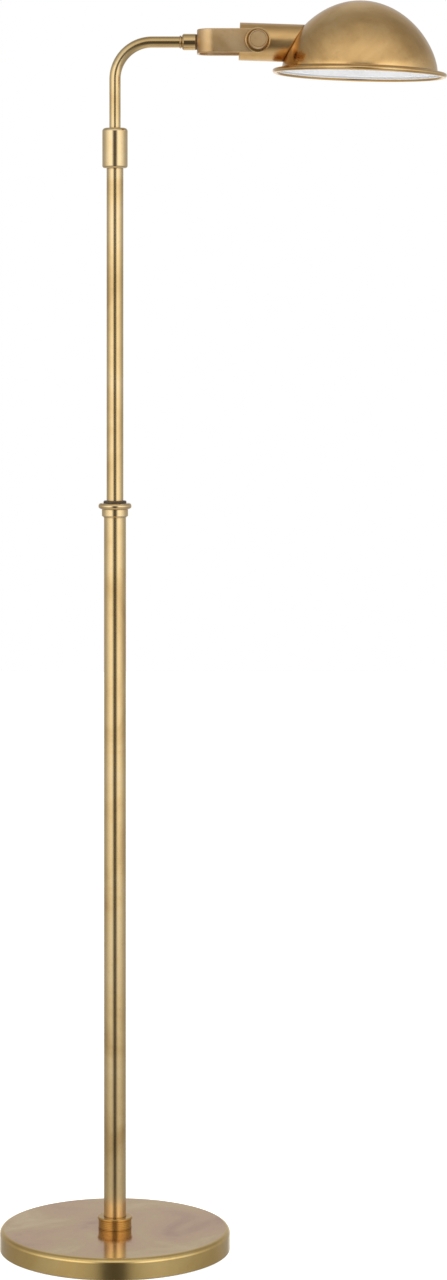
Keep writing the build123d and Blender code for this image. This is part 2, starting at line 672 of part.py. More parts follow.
# The housing's front end is coped to the dome, where it is soldered on.
with BuildPart() as lamp_housing:
    ring(across(HEAD, -HOUSING_BACK), HOUSING_R, HOUSING_INNER, HOUSING_BACK + SHADE_X)
    for side in (-1, 1):
        with BuildSketch(sideways(HEAD, side * LOOSE)):
            Circle(HUB_R)
        extrude(amount=HOUSING_R, mode=Mode.SUBTRACT)
    add(dome_solid.part, mode=Mode.SUBTRACT)
lamp_housing.part.label = "lamp_housing"
export_step(lamp_housing.part, "parts/lamp_housing.step")

GROMMET_WALL = 1.9
GROMMET_LIP = 1.5         # the lip stands out this far and is this thick
GROMMET_BORE = LEAD_R + 2 * RUN
GROMMET_R = GROMMET_BORE + GROMMET_WALL

with BuildPart() as housing_cap:
    ring(across(HEAD, -HOUSING_BACK), HOUSING_INNER, GROMMET_R, CAP_T)
housing_cap.part.label = "housing_cap"
export_step(housing_cap.part, "parts/housing_cap.step")

with BuildPart() as lead_grommet:
    ring(across(HEAD, -HOUSING_BACK - GROMMET_LIP), GROMMET_R + GROMMET_LIP, GROMMET_BORE, GROMMET_LIP)
    ring(across(HEAD, -HOUSING_BACK), GROMMET_R, GROMMET_BORE, CAP_T)
lead_grommet.part.label = "lead_grommet"
export_step(lead_grommet.part, "parts/lead_grommet.step")

# Pivot: a hub through each side of the housing, a fibre washer against each leg of the
# yoke.  At the front the dimmer's threaded neck is the pivot, at the back a screw.
DIMMER_SIZE = HOUSING_INNER + DIMMER_OVER
HUB_INNER_Y = sqrt(HOUSING_INNER**2 - (DIMMER_SIZE / 2)**2) - LOOSE

with BuildPart() as pivot_hubs:
    for side in (-1, 1):
        ring(sideways(HEAD, side * HUB_INNER_Y), HUB_R, ROD_R, HUB_Y - HUB_INNER_Y)
pivot_hubs.part.label = "pivot_hubs"
export_step(pivot_hubs.part, "parts/pivot_hubs.step")

with BuildPart() as pivot_washers:
    for side in (-1, 1):
        ring(sideways(HEAD, side * HUB_Y), FIBRE_R, ROD_R + RUN, FIBRE_T)
pivot_washers.part.label = "pivot_washers"
export_step(pivot_washers.part, "parts/pivot_washers.step")

SCREW_HEAD_T = 4.0
DRIVER_SLOT_W = 1.8
DRIVER_SLOT_DEPTH = 1.6

with BuildPart() as pivot_screw:
    ring(sideways(HEAD, HUB_INNER_Y - CUT), ROD_R, 0, YOKE_HALF_W + RUN - HUB_INNER_Y + CUT)
    ring(sideways(HEAD, YOKE_HALF_W + RUN), FIBRE_R, 0, SCREW_HEAD_T)
    fillet(pivot_screw.edges().group_by(Axis.Y)[-1], radius=SCREW_HEAD_T * EDGE_SHARE)
    with BuildSketch(sideways(HEAD, YOKE_HALF_W + SCREW_HEAD_T)):
        Rectangle(2 * FIBRE_R + CUT, DRIVER_SLOT_W)
    extrude(amount=DRIVER_SLOT_DEPTH, both=True, mode=Mode.SUBTRACT)
pivot_screw.part.label = "pivot_screw"
export_step(pivot_screw.part, "parts/pivot_screw.step")

FLANGE_Y = YOKE_HALF_W + RUN
FLANGE_FACE = FLANGE_Y + FLANGE_T
NECK_FACE = FLANGE_FACE - DISH_DEPTH

with BuildPart() as dimmer_body:
    with BuildSketch(sideways(HEAD, -(HUB_INNER_Y - DIMMER_DEPTH))):
        RectangleRounded(DIMMER_SIZE, DIMMER_SIZE, CUT)
    extrude(amount=DIMMER_DEPTH)
    ring(sideways(HEAD, -HUB_INNER_Y), ROD_R, 0, NECK_FACE - HUB_INNER_Y)
    bore(sideways(HEAD, -(HUB_INNER_Y - DIMMER_DEPTH / 2)), SHAFT_R + RUN, FLANGE_FACE)
dimmer_body.part.label = "dimmer_body"
export_step(dimmer_body.part, "parts/dimmer_body.step")

with BuildPart() as pivot_flange:
    ring(sideways(HEAD, -FLANGE_Y), FLANGE_R, 0, FLANGE_T)
    fillet(pivot_flange.edges().group_by(Axis.Y)[0], radius=FLANGE_RIM * EDGE_SHARE)
    bore(sideways(HEAD, -NECK_FACE), DISH_R, DISH_DEPTH)
    bore(sideways(HEAD, -FLANGE_Y), ROD_R, FLANGE_T)
pivot_flange.part.label = "pivot_flange"
export_step(pivot_flange.part, "parts/pivot_flange.step")

SHAFT_END_Y = KNOB_FACE_Y - SHAFT_SHORT
FACE_RING_R = KNOB_R - KNOB_CHAMFER - LOOSE

with BuildPart() as dimmer_shaft:
    ring(sideways(HEAD, -(HUB_INNER_Y - DIMMER_DEPTH / 2)), SHAFT_R, 0,
         SHAFT_END_Y - HUB_INNER_Y + DIMMER_DEPTH / 2)
dimmer_shaft.part.label = "dimmer_shaft"
export_step(dimmer_shaft.part, "parts/dimmer_shaft.step")

with BuildPart() as dimmer_knob:
    ring(sideways(HEAD, -(NECK_FACE + LOOSE)), KNOB_R, 0, KNOB_FACE_Y - NECK_FACE - LOOSE)
    chamfer(dimmer_knob.edges().group_by(Axis.Y)[0], length=KNOB_CHAMFER)
    bore(sideways(HEAD, -(NECK_FACE + LOOSE)), SHAFT_R, SHAFT_END_Y - NECK_FACE - LOOSE)
    with BuildSketch(sideways(HEAD, -(KNOB_FACE_Y - LOOSE))):
        Circle(FACE_RING_R)
        Circle(FACE_RING_R - LOOSE, mode=Mode.SUBTRACT)
    extrude(amount=LOOSE, mode=Mode.SUBTRACT)
dimmer_knob.part.label = "dimmer_knob"
export_step(dimmer_knob.part, "parts/dimmer_knob.step")

# ================================================================ LAMPHOLDER AND BULB

HOLDER_X = HOLDER_PLATE_X + HOLDER_PLATE_T
HOLDER_MOUTH = HOLDER_X + HOLDER_L
HOLDER_FLOOR = 5.0
HOLDER_SCREW_R = 1.5
HOLDER_SCREW_INSET = 3.5  # from the shell's radius
HOLDER_SCREW_PITCH = 2 * (SHELL_R - HOLDER_SCREW_INSET)
HOLDER_SCREW_HEAD_R = 2.7
HOLDER_SCREW_HEAD_T = 1.5
HOLDER_EDGE_R = 1.0
CONTACT_R = 4.0
CAP_CHAMFER = 4.0
BULB_NECK_X = 0.25        # the bulb's neck and its widest ring, as shares of its length
BULB_BELLY_X = 0.62
BULB_NECK_R = 0.72        # the neck's radius, as a share of the widest
WIRE_WAY_R = 2.5
THREAD_GAP = 0.7          # screw shell to bulb cap
BULB_CAP_GAP = 3.0        # bulb's cap stops short of the holder's floor

with BuildPart() as holder_plate:
    ring(across(HEAD, HOLDER_PLATE_X), HOUSING_INNER, 0, HOLDER_PLATE_T)
    with BuildSketch(across(HEAD, HOLDER_PLATE_X)):
        with GridLocations(HOLDER_SCREW_PITCH, 0, 2, 1):
            Circle(HOLDER_SCREW_R)
        with GridLocations(0, HOLDER_SCREW_PITCH, 1, 2):
            Circle(WIRE_WAY_R)
    extrude(amount=HOLDER_PLATE_T, mode=Mode.SUBTRACT)
holder_plate.part.label = "holder_plate"
export_step(holder_plate.part, "parts/holder_plate.step")

with BuildPart() as lampholder:
    ring(across(HEAD, HOLDER_X), HOLDER_R, 0, HOLDER_L)
    fillet(lampholder.edges().group_by(Axis.X)[-1], radius=HOLDER_EDGE_R)
    bore(across(HEAD, HOLDER_X + HOLDER_FLOOR), SHELL_R, HOLDER_L)
    with BuildSketch(across(HEAD, HOLDER_X)):
        with GridLocations(HOLDER_SCREW_PITCH, 0, 2, 1):
            Circle(HOLDER_SCREW_R)
    extrude(amount=HOLDER_FLOOR, mode=Mode.SUBTRACT)
lampholder.part.label = "lampholder"
export_step(lampholder.part, "parts/lampholder.step")

with BuildPart() as holder_screws:
    for side in (-1, 1):
        head_plane = across(HEAD, HOLDER_PLATE_X)
        at = Plane(origin=head_plane.from_local_coords((side * HOLDER_SCREW_PITCH / 2, 0, 0)),
                   x_dir=head_plane.x_dir, z_dir=head_plane.z_dir)
        ring(at, HOLDER_SCREW_R, 0, HOLDER_PLATE_T + HOLDER_FLOOR)
        ring(at.offset(-HOLDER_SCREW_HEAD_T), HOLDER_SCREW_HEAD_R, 0, HOLDER_SCREW_HEAD_T)
holder_screws.part.label = "holder_screws"
export_step(holder_screws.part, "parts/holder_screws.step")

with BuildPart() as screw_shell:
    ring(across(HEAD, HOLDER_X + HOLDER_FLOOR), SHELL_R, SHELL_R - SHELL_WALL,
         HOLDER_L - HOLDER_FLOOR - SHELL_SHORT)
screw_shell.part.label = "screw_shell"
export_step(screw_shell.part, "parts/screw_shell.step")

CAP_R = SHELL_R - SHELL_WALL - THREAD_GAP
CAP_X = HOLDER_X + HOLDER_FLOOR + BULB_CAP_GAP

with BuildPart() as centre_contact:
    ring(across(HEAD, HOLDER_X + HOLDER_FLOOR), CONTACT_R, 0, BULB_CAP_GAP)
centre_contact.part.label = "centre_contact"
export_step(centre_contact.part, "parts/centre_contact.step")

with BuildPart() as bulb_cap:
    ring(across(HEAD, CAP_X), CAP_R, 0, HOLDER_MOUTH - CAP_X)
    chamfer(bulb_cap.edges().group_by(Axis.X)[0], length=CAP_CHAMFER)
bulb_cap.part.label = "bulb_cap"
export_step(bulb_cap.part, "parts/bulb_cap.step")

with BuildPart() as bulb_glass:
    with BuildSketch(lengthwise(HEAD)):
        with BuildLine():
            outline = Spline(
                (HOLDER_MOUTH, CAP_R), (HOLDER_MOUTH + BULB_L * BULB_NECK_X, BULB_R * BULB_NECK_R),
                (HOLDER_MOUTH + BULB_L * BULB_BELLY_X, BULB_R), (HOLDER_MOUTH + BULB_L, 0),
                tangents=((1, 0.1), (0, -1)),
            )
            Polyline(outline @ 1, (HOLDER_MOUTH, 0), outline @ 0)
        make_face()
    revolve(axis=Axis(HEAD.origin, HEAD.x_dir))
    offset(amount=-BULB_WALL, openings=bulb_glass.faces().filter_by(GeomType.PLANE))
bulb_glass.part.label = "bulb_glass"
export_step(bulb_glass.part, "parts/bulb_glass.step")
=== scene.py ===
"""A brass pharmacy floor lamp: its finished surfaces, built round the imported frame.

The sections follow the lamp as it is put together, from the floor up.  Metres, +Z up.
"""

import json

import bmesh
import bpy
import numpy as np
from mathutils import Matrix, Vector


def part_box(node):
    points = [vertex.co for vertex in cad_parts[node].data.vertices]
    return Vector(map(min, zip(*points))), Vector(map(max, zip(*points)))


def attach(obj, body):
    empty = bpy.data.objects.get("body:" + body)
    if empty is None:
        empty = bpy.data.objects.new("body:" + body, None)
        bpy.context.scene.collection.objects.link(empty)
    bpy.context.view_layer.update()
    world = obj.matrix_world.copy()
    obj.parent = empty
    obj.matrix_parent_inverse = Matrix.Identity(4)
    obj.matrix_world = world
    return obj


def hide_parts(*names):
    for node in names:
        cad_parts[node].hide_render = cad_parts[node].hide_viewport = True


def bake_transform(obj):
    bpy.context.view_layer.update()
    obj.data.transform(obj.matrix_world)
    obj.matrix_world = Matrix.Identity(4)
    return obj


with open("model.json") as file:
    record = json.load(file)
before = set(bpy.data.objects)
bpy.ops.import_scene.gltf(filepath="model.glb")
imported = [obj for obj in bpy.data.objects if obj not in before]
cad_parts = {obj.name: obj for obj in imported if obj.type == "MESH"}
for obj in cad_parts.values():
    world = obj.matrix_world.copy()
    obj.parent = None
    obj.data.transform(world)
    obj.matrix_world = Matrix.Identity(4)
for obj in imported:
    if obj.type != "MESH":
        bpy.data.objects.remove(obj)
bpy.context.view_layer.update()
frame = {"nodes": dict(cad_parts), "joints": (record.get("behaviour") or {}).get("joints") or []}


# ------------------------------------------------------------------ camera, floor and light
# The camera stands in front of the lamp, a little below the shade and level, as for a
# catalogue picture.  The floor is pale and the studio is a white room with a dark gap
# straight ahead, where the camera stands between two tall soft lights.

scene = bpy.context.scene
scene.view_settings.view_transform = "Standard"

camera_data = bpy.data.cameras.new("camera")
camera_data.sensor_width = 36.0
camera_data.lens = 96.06
camera_data.shift_x = 0.0462
camera_data.shift_y = -0.2643
camera = bpy.data.objects.new("camera", camera_data)
camera.location = (0.0558, -3.8596, 1.0698)
camera.rotation_euler = (np.radians(90.0), 0.0, 0.0)
scene.collection.objects.link(camera)
scene.camera = camera


def node(tree, kind, **settings):
    """A shader node; settings named as its sockets set those sockets, others its options."""
    made = tree.nodes.new(kind)
    for key, value in settings.items():
        socket = made.inputs.get(key.replace("_", " "))
        if socket is None:
            setattr(made, key, value)
        else:
            socket.default_value = value
    return made


def ramp(tree, source, stops):
    """A colour ramp of (place, grey or colour) stops, fed by a socket; gives its colour socket."""
    made = tree.nodes.new("ShaderNodeValToRGB")
    while len(made.color_ramp.elements) < len(stops):
        made.color_ramp.elements.new(1.0)
    for element, (place, colour) in zip(made.color_ramp.elements, stops):
        element.position = place
        element.color = (*colour, 1.0) if isinstance(colour, tuple) else (colour, colour, colour, 1.0)
    tree.links.new(source, made.inputs["Fac"])
    return made.outputs["Color"]


def maths(tree, operation, a, b=None):
    """One Math node on sockets or numbers; gives its output socket."""
    made = tree.nodes.new("ShaderNodeMath")
    made.operation = operation
    for socket, value in zip(made.inputs, (a, b)):
        if isinstance(value, (int, float)):
            socket.default_value = value
        elif value is not None:
            tree.links.new(value, socket)
    return made.outputs[0]


def studio_world():
    """The room that the brass mirrors: its brightness goes by bearing and by height.

    Bearing is the angle between a direction's level part and -Y, as a share of half a turn,
    and height is a direction's Z.  Level directions meet the dark gap ahead, the tall lights
    on both sides and dim walls behind.  Over the gap hangs a soft light, and the ceiling above
    it is dim.  Low down come the foot of the walls and the paving.  The paper behind the lamp
    is bright, but only as seen along undersides.  The camera itself sees white everywhere.
    """
    world = bpy.data.worlds.new("studio")
    scene.world = world
    world.use_nodes = True
    tree = world.node_tree
    tree.nodes.clear()
    way = node(tree, "ShaderNodeTexCoord").outputs["Generated"]
    parts = node(tree, "ShaderNodeSeparateXYZ")
    tree.links.new(way, parts.inputs[0])
    side = maths(tree, "ABSOLUTE", parts.outputs["X"])
    ahead = maths(tree, "MULTIPLY", parts.outputs["Y"], -1.0)
    bearing = maths(tree, "DIVIDE", maths(tree, "ARCTAN2", side, ahead), np.pi)
    height = parts.outputs["Z"]
    depth = maths(tree, "MULTIPLY", height, -1.0)

    def by_bearing(*stops):
        """A brightness that goes by bearing alone, from (bearing, grey) stops."""
        return ramp(tree, bearing, stops)

    def mixed(share, a, b):
        """One brightness giving way to another: (1 - share) * a + share * b."""
        made = node(tree, "ShaderNodeMix", data_type="RGBA")
        for socket, source in (("Factor", share), ("A", a), ("B", b)):
            tree.links.new(source, made.inputs[socket])
        return made.outputs["Result"]

    sides = [(0.14, 0.88), (0.19, 1.0), (0.26, 0.98), (0.36, 0.78), (0.43, 0.66), (0.51, 0.46), (0.62, 0.36),
             (0.78, 0.32), (1.0, 0.42)]
    gap = by_bearing((0.0, 0.07), (0.045, 0.085), (0.085, 0.30), *sides)
    walls = by_bearing((0.0, 0.40), (0.06, 0.44), *sides)
    over_light = by_bearing((0.0, 0.66), (0.25, 0.58), (0.55, 0.30), (0.75, 0.24), (1.0, 0.42))
    ceiling = by_bearing((0.0, 0.40), (0.5, 0.28), (1.0, 0.25))
    wall_foot = by_bearing((0.0, 0.06), (0.05, 0.07), (0.10, 0.26), (0.25, 0.34), (0.50, 0.28), (1.0, 0.28))
    paving = ramp(tree, depth, [(0.55, 0.26), (0.80, 0.36), (0.97, 0.55)])
    backdrop = ramp(tree, depth, [(0.0, 0.85), (1.0, 0.60)])

    lit = gap
    for measure, start, end, next_colour in (
            (height, 0.23, 0.33, walls), (height, 0.28, 0.42, over_light), (height, 0.76, 0.97, ceiling),
            (depth, 0.13, 0.26, wall_foot), (depth, 0.50, 0.75, paving)):
        lit = mixed(ramp(tree, measure, [(start, 0.0), (end, 1.0)]), lit, next_colour)
    under = ramp(tree, height, [(0.03, 1.0), (0.12, 0.0)])
    behind = by_bearing((0.86, 0.0), (0.95, 0.9))
    lit = mixed(maths(tree, "MULTIPLY", under, behind), lit, backdrop)
    room = node(tree, "ShaderNodeBackground", Strength=1.3)
    tree.links.new(lit, room.inputs["Color"])
    white = node(tree, "ShaderNodeBackground", Strength=1.0, Color=(1.0, 1.0, 1.0, 1.0))
    choice = node(tree, "ShaderNodeMixShader")
    tree.links.new(node(tree, "ShaderNodeLightPath").outputs["Is Camera Ray"], choice.inputs["Fac"])
    tree.links.new(room.outputs[0], choice.inputs[1])
    tree.links.new(white.outputs[0], choice.inputs[2])
    out = node(tree, "ShaderNodeOutputWorld")
    tree.links.new(choice.outputs[0], out.inputs["Surface"])


studio_world()


def soft_light(name, place, target, size, power):
    """An area light at a place, facing a target; the brass mirrors only the room."""
    data = bpy.data.lights.new(name, "AREA")
    data.shape = "RECTANGLE"
    data.size, data.size_y = size
    data.energy = power
    light = bpy.data.objects.new(name, data)
    light.location = place
    light.rotation_euler = (Vector(target) - Vector(place)).to_track_quat("-Z", "Y").to_euler()
    light.visible_glossy = False
    scene.collection.objects.link(light)


soft_light("light_left", (-1.9, -2.0, 1.6), (0.0, 0.0, 0.9), (1.0, 2.2), 12.0)
soft_light("light_over", (0.2, -0.3, 3.2), (0.1, 0.0, 0.0), (2.4, 2.4), 30.0)

floor_paint = bpy.data.materials.new("pale_floor")
floor_paint.use_nodes = True
floor_shader = floor_paint.node_tree.nodes["Principled BSDF"]
floor_shader.inputs["Base Color"].default_value = (0.92, 0.92, 0.92, 1.0)
floor_shader.inputs["Roughness"].default_value = 0.6
floor_shader.inputs["Specular IOR Level"].default_value = 0.2
floor_shader.inputs["Emission Color"].default_value = (1.0, 1.0, 1.0, 1.0)
floor_shader.inputs["Emission Strength"].default_value = 0.85

FLOOR_HALF = 6.0
floor_mesh = bpy.data.meshes.new("floor")
floor_mesh.from_pydata([(-FLOOR_HALF, -FLOOR_HALF, 0), (FLOOR_HALF, -FLOOR_HALF, 0),
                        (FLOOR_HALF, FLOOR_HALF, 0), (-FLOOR_HALF, FLOOR_HALF, 0)], [], [(0, 1, 2, 3)])
floor_mesh.materials.append(floor_paint)
floor = bpy.data.objects.new("floor", floor_mesh)
floor.visible_glossy = False
scene.collection.objects.link(floor)


# -------------------------------------------------------------------------------- the base
# A spun brass cover over a cast-iron weight.  The cover is one sheet with a rolled top
# edge; the iron is bolted up inside it and a felt pad is glued underneath.

MM = 0.001


def rounded(corners, radii, steps=7, hold=0.00012):
    """An outline of (radius, along) corners, each rounded by its own radius.

    A corner gives way to an arc tangent to both its runs.  The arc starts radius / tan(half
    the corner's angle) before it, and a holding point stands just outside each of its ends,
    so that flat runs stay flat when the faces are shaded smooth.  A closed outline starts in
    the middle of its first run, so its last corner is rounded like the rest.
    """
    corners = np.asarray(corners, float)
    if np.allclose(corners[0], corners[-1]):
        start = (corners[:1] + corners[1:2]) / 2
        corners = np.vstack([start, corners[1:], start])
    pieces = [corners[:1]]
    for before, corner, after, radius in zip(corners, corners[1:], corners[2:], radii):
        into = (before - corner) / np.linalg.norm(before - corner)
        out = (after - corner) / np.linalg.norm(after - corner)
        half = np.arccos(np.clip(into @ out, -1.0, 1.0)) / 2.0
        run = radius / np.tan(half)
        middle = corner + (into + out) / np.linalg.norm(into + out) * radius / np.sin(half)
        spokes = np.array([corner + into * run - middle, corner + out * run - middle])
        turn = np.pi - 2.0 * half
        share = np.linspace(0.0, 1.0, steps + 1)[:, None]
        arc = (np.sin((1.0 - share) * turn) * spokes[0] + np.sin(share * turn) * spokes[1]) / np.sin(turn)
        pieces += [[corner + into * (run + hold)], middle + arc, [corner + out * (run + hold)]]
    return np.vstack(pieces + [corners[-1:]])


def skin(name, points, along=None):
    """A mesh from a grid of points, rows along the shape and columns all round it.

    The columns close on themselves, and so do the rows where the last row repeats the first.
    A row on the axis shrinks to a single point.  The UV map runs once round in u, and in v
    it is the distance along the outline, in metres.
    """
    closed = np.allclose(points[0], points[-1])
    if along is None:
        steps = np.linalg.norm(np.diff(points[:, 0], axis=0), axis=1)
        along = np.concatenate([[0.0], np.cumsum(steps)])
    rows, columns = points.shape[0] - int(closed), points.shape[1]
    bands = points.shape[0] - 1
    row = np.arange(bands)[:, None]
    column = np.arange(columns)[None, :]
    lower, upper = row % rows, (row + 1) % rows
    beside = (column + 1) % columns
    faces = np.stack([lower * columns + column, lower * columns + beside,
                      upper * columns + beside, upper * columns + column], axis=-1).reshape(-1, 4)
    mesh = bpy.data.meshes.new(name)
    mesh.vertices.add(rows * columns)
    mesh.vertices.foreach_set("co", points[:rows].astype(np.float32).ravel())
    mesh.loops.add(faces.size)
    mesh.loops.foreach_set("vertex_index", faces.astype(np.int32).ravel())
    mesh.polygons.add(len(faces))
    mesh.polygons.foreach_set("loop_start", np.arange(0, faces.size, 4, dtype=np.int32))
    round_share = np.stack([column, column + 1, column + 1, column], axis=-1) / columns
    run = np.stack([along[row], along[row], along[row + 1], along[row + 1]], axis=-1)
    uv = np.stack([np.broadcast_to(round_share, (bands, columns, 4)),
                   np.broadcast_to(run, (bands, columns, 4))], axis=-1)
    mesh.uv_layers.new(name="UVMap").data.foreach_set("uv", uv.astype(np.float32).ravel())
    mesh.update(calc_edges=True)
    mesh.validate()
    shape = bmesh.new()
    shape.from_mesh(mesh)
    bmesh.ops.remove_doubles(shape, verts=shape.verts, dist=1e-7)
    bmesh.ops.recalc_face_normals(shape, faces=shape.faces)
    shape.to_mesh(mesh)
    shape.free()
    mesh.shade_smooth()
    piece = bpy.data.objects.new(name, mesh)
    scene.collection.objects.link(piece)
    return piece


def turned(name, outline, origin=(0, 0, 0), axis=(0, 0, 1), around=144):
    """A part turned on a lathe: an outline of (radius, along) points carried round an axis.

    A point stands origin + along * axis + radius * (cos(a) * u + sin(a) * v), where u and v
    are square to the axis and a goes once round.
    """
    axis = np.asarray(axis, float) / np.linalg.norm(axis)
    first = np.cross(axis, (0.0, 1.0, 0.0) if abs(axis[1]) < 0.9 else (1.0, 0.0, 0.0))
    first /= np.linalg.norm(first)
    second = np.cross(axis, first)
    angle = np.linspace(0.0, 2.0 * np.pi, around, endpoint=False)
    spoke = np.cos(angle)[:, None] * first + np.sin(angle)[:, None] * second
    radius, along = np.asarray(outline, float).T
    points = np.asarray(origin) + along[:, None, None] * axis + radius[:, None, None] * spoke
    return skin(name, points)


def aged_brass(name, brasses, rough, spread=0.16, patch=11.0, lathe=0.0, drawn=0.0, tarnish_and_shade=0.8):
    """Hand-rubbed brass under thin lacquer.

    Noise as large as a patch of rubbing blends the brass tones in order, and a finer one
    dulls them in specks.  Where the surface is shut in within a few millimetres the colour is
    darkened: partly tarnish settled there, partly painted shade.  The noises and the tool marks
    also vary the polish: lathe marks follow the outline's length, drawn marks run up a tube.
    """
    made = bpy.data.materials.new(name)
    made.use_nodes = True
    tree = made.node_tree
    shader = tree.nodes["Principled BSDF"]
    coords = node(tree, "ShaderNodeTexCoord")
    cloud = node(tree, "ShaderNodeTexNoise", Scale=patch, Detail=5.0, Roughness=0.55, Distortion=0.8)
    speck = node(tree, "ShaderNodeTexNoise", Scale=170.0, Detail=4.0, Roughness=0.7)
    for texture in (cloud, speck):
        tree.links.new(coords.outputs["Object"], texture.inputs["Vector"])
    places = np.linspace(0.5 - spread, 0.5 + spread, len(brasses))
    patches = ramp(tree, cloud.outputs["Fac"], list(zip(places, brasses)))
    dulled = ramp(tree, speck.outputs["Fac"], [(0.30, 0.90), (0.45, 1.0)])
    # Ambient occlusion within 3 mm darkens crevices, grooves and joints between pieces: partly tarnish,
    # partly painted shade.
    corners = node(tree, "ShaderNodeAmbientOcclusion", samples=6, Distance=3.0 * MM)
    crevice_tarnish_and_shade = ramp(tree, corners.outputs["AO"], [(0.30, (0.30, 0.20, 0.11)), (0.62, (0.80, 0.74, 0.66)),
                                                 (0.85, 1.0)])
    colour = patches
    for layer, share in ((dulled, 0.8), (crevice_tarnish_and_shade, tarnish_and_shade)):
        blend = node(tree, "ShaderNodeMix", data_type="RGBA", blend_type="MULTIPLY")
        blend.inputs["Factor"].default_value = share
        tree.links.new(colour, blend.inputs["A"])
        tree.links.new(layer, blend.inputs["B"])
        colour = blend.outputs["Result"]
    tree.links.new(colour, shader.inputs["Base Color"])
    marks = maths(tree, "MULTIPLY", cloud.outputs["Fac"], 0.6)
    for strength, source, stretch in ((lathe, "UV", (6.0, 3600.0, 1.0)),
                                      (drawn, "Object", (1500.0, 1500.0, 9.0))):
        if not strength:
            continue
        mapping = node(tree, "ShaderNodeMapping", Scale=stretch)
        tree.links.new(coords.outputs[source], mapping.inputs["Vector"])
        lines = node(tree, "ShaderNodeTexNoise", Scale=1.0, Detail=2.0, Roughness=0.6)
        tree.links.new(mapping.outputs["Vector"], lines.inputs["Vector"])
        marks = maths(tree, "ADD", marks, maths(tree, "MULTIPLY", lines.outputs["Fac"], strength))
        relief = node(tree, "ShaderNodeBump", Strength=0.06, Distance=0.01 * MM)
        tree.links.new(lines.outputs["Fac"], relief.inputs["Height"])
        tree.links.new(relief.outputs["Normal"], shader.inputs["Normal"])
    polish = maths(tree, "MULTIPLY_ADD", marks, 0.10)
    polish.node.inputs[2].default_value = rough - 0.05
    tree.links.new(polish, shader.inputs["Roughness"])
    shader.inputs["Metallic"].default_value = 1.0
    shader.inputs["Coat Weight"].default_value = 0.12
    shader.inputs["Coat Roughness"].default_value = 0.06
    shader.inputs["Coat IOR"].default_value = 1.45
    return made


def fit(piece, material, body, slot, *nodes):
    """Gives a piece its material and its body, and hides the CAD nodes that it stands for; the slot is not
    used.
    """
    piece.data.materials.append(material)
    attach(piece, body)
    if nodes:
        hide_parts(*nodes)
    return piece


def coat(material, *nodes):
    """Puts a material on CAD nodes that keep their own shape."""
    for name in nodes:
        data = frame["nodes"][name].data
        data.materials.clear()
        data.materials.append(material)
        data.shade_smooth()


TOP_BRASS = ((0.58, 0.345, 0.215), (0.72, 0.455, 0.265), (0.75, 0.52, 0.265), (0.84, 0.62, 0.34))
# The rolled edge's brass is a yellower, lighter copy of the top's: painted highlight.
EDGE_HIGHLIGHT_BRASS = ((0.72, 0.48, 0.17), (0.80, 0.555, 0.21), (0.84, 0.62, 0.27))
spun_brass = aged_brass("spun_brass", TOP_BRASS, rough=0.15, spread=0.15, patch=8.0, lathe=0.3)
edge_highlight_brass = aged_brass("edge_highlight_brass", EDGE_HIGHLIGHT_BRASS, rough=0.17, patch=9.0, lathe=0.3)

shell_low, shell_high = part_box("base_shell")
base_r, base_top, skirt_z = shell_high.x, shell_high.z, shell_low.z
SHELL_T = 1.5 * MM
BASE_EDGE_R = 5.0 * MM
SHELL_HOLE_R = 5.2 * MM

shell_outline = rounded(
    [(SHELL_HOLE_R, base_top), (base_r, base_top), (base_r, skirt_z), (base_r - SHELL_T, skirt_z),
     (base_r - SHELL_T, base_top - SHELL_T), (SHELL_HOLE_R, base_top - SHELL_T), (SHELL_HOLE_R, base_top)],
    [BASE_EDGE_R, 0.5 * MM, 0.4 * MM, BASE_EDGE_R - SHELL_T, 0.2 * MM, 0.2 * MM], steps=12)
shell_run = np.cumsum(np.linalg.norm(np.diff(shell_outline, axis=0), axis=1))
base_shell = turned("base_shell", shell_outline, around=288)
fit(base_shell, spun_brass, "stand", "aged_brass", "base_shell")
base_shell.data.materials.append(edge_highlight_brass)


def second_material(mesh, start, end=np.inf):
    """Gives the second material to the faces whose v coordinate lies from start to end."""
    uv = np.zeros(len(mesh.loops) * 2, np.float32)
    mesh.uv_layers[0].data.foreach_get("uv", uv)
    first_loop = np.zeros(len(mesh.polygons), np.int32)
    mesh.polygons.foreach_get("loop_start", first_loop)
    run = uv.reshape(-1, 2)[first_loop, 1]
    mesh.polygons.foreach_set("material_index", ((run >= start) & (run < end)).astype(np.int32))


# The outline starts and ends half-way along the top.  From where the rolled edge starts,
# the edge, the skirt and the inside take a yellower copy of the brass, a painted highlight.
half_top = (base_r - SHELL_HOLE_R) / 2
second_material(base_shell.data, half_top - BASE_EDGE_R, shell_run[-1] - half_top)


def plain_surface(name, colour, rough, grain=60.0, relief=0.3, shift=0.25, metal=0.0, depth=0.0002):
    """An even material: one colour clouded by noise, with the same noise as relief."""
    made = bpy.data.materials.new(name)
    made.use_nodes = True
    tree = made.node_tree
    shader = tree.nodes["Principled BSDF"]
    coords = node(tree, "ShaderNodeTexCoord")
    grains = node(tree, "ShaderNodeTexNoise", Scale=grain, Detail=5.0, Roughness=0.65)
    tree.links.new(coords.outputs["Object"], grains.inputs["Vector"])
    shades = ramp(tree, grains.outputs["Fac"], [(0.3, tuple(c * (1.0 - shift) for c in colour)),
                                                (0.7, tuple(min(1.0, c * (1.0 + shift)) for c in colour))])
    tree.links.new(shades, shader.inputs["Base Color"])
    polish = maths(tree, "MULTIPLY_ADD", grains.outputs["Fac"], 0.2)
    polish.node.inputs[2].default_value = rough - 0.1
    tree.links.new(polish, shader.inputs["Roughness"])
    bump = node(tree, "ShaderNodeBump", Strength=relief, Distance=depth)
    tree.links.new(grains.outputs["Fac"], bump.inputs["Height"])
    tree.links.new(bump.outputs["Normal"], shader.inputs["Normal"])
    shader.inputs["Metallic"].default_value = metal
    return made


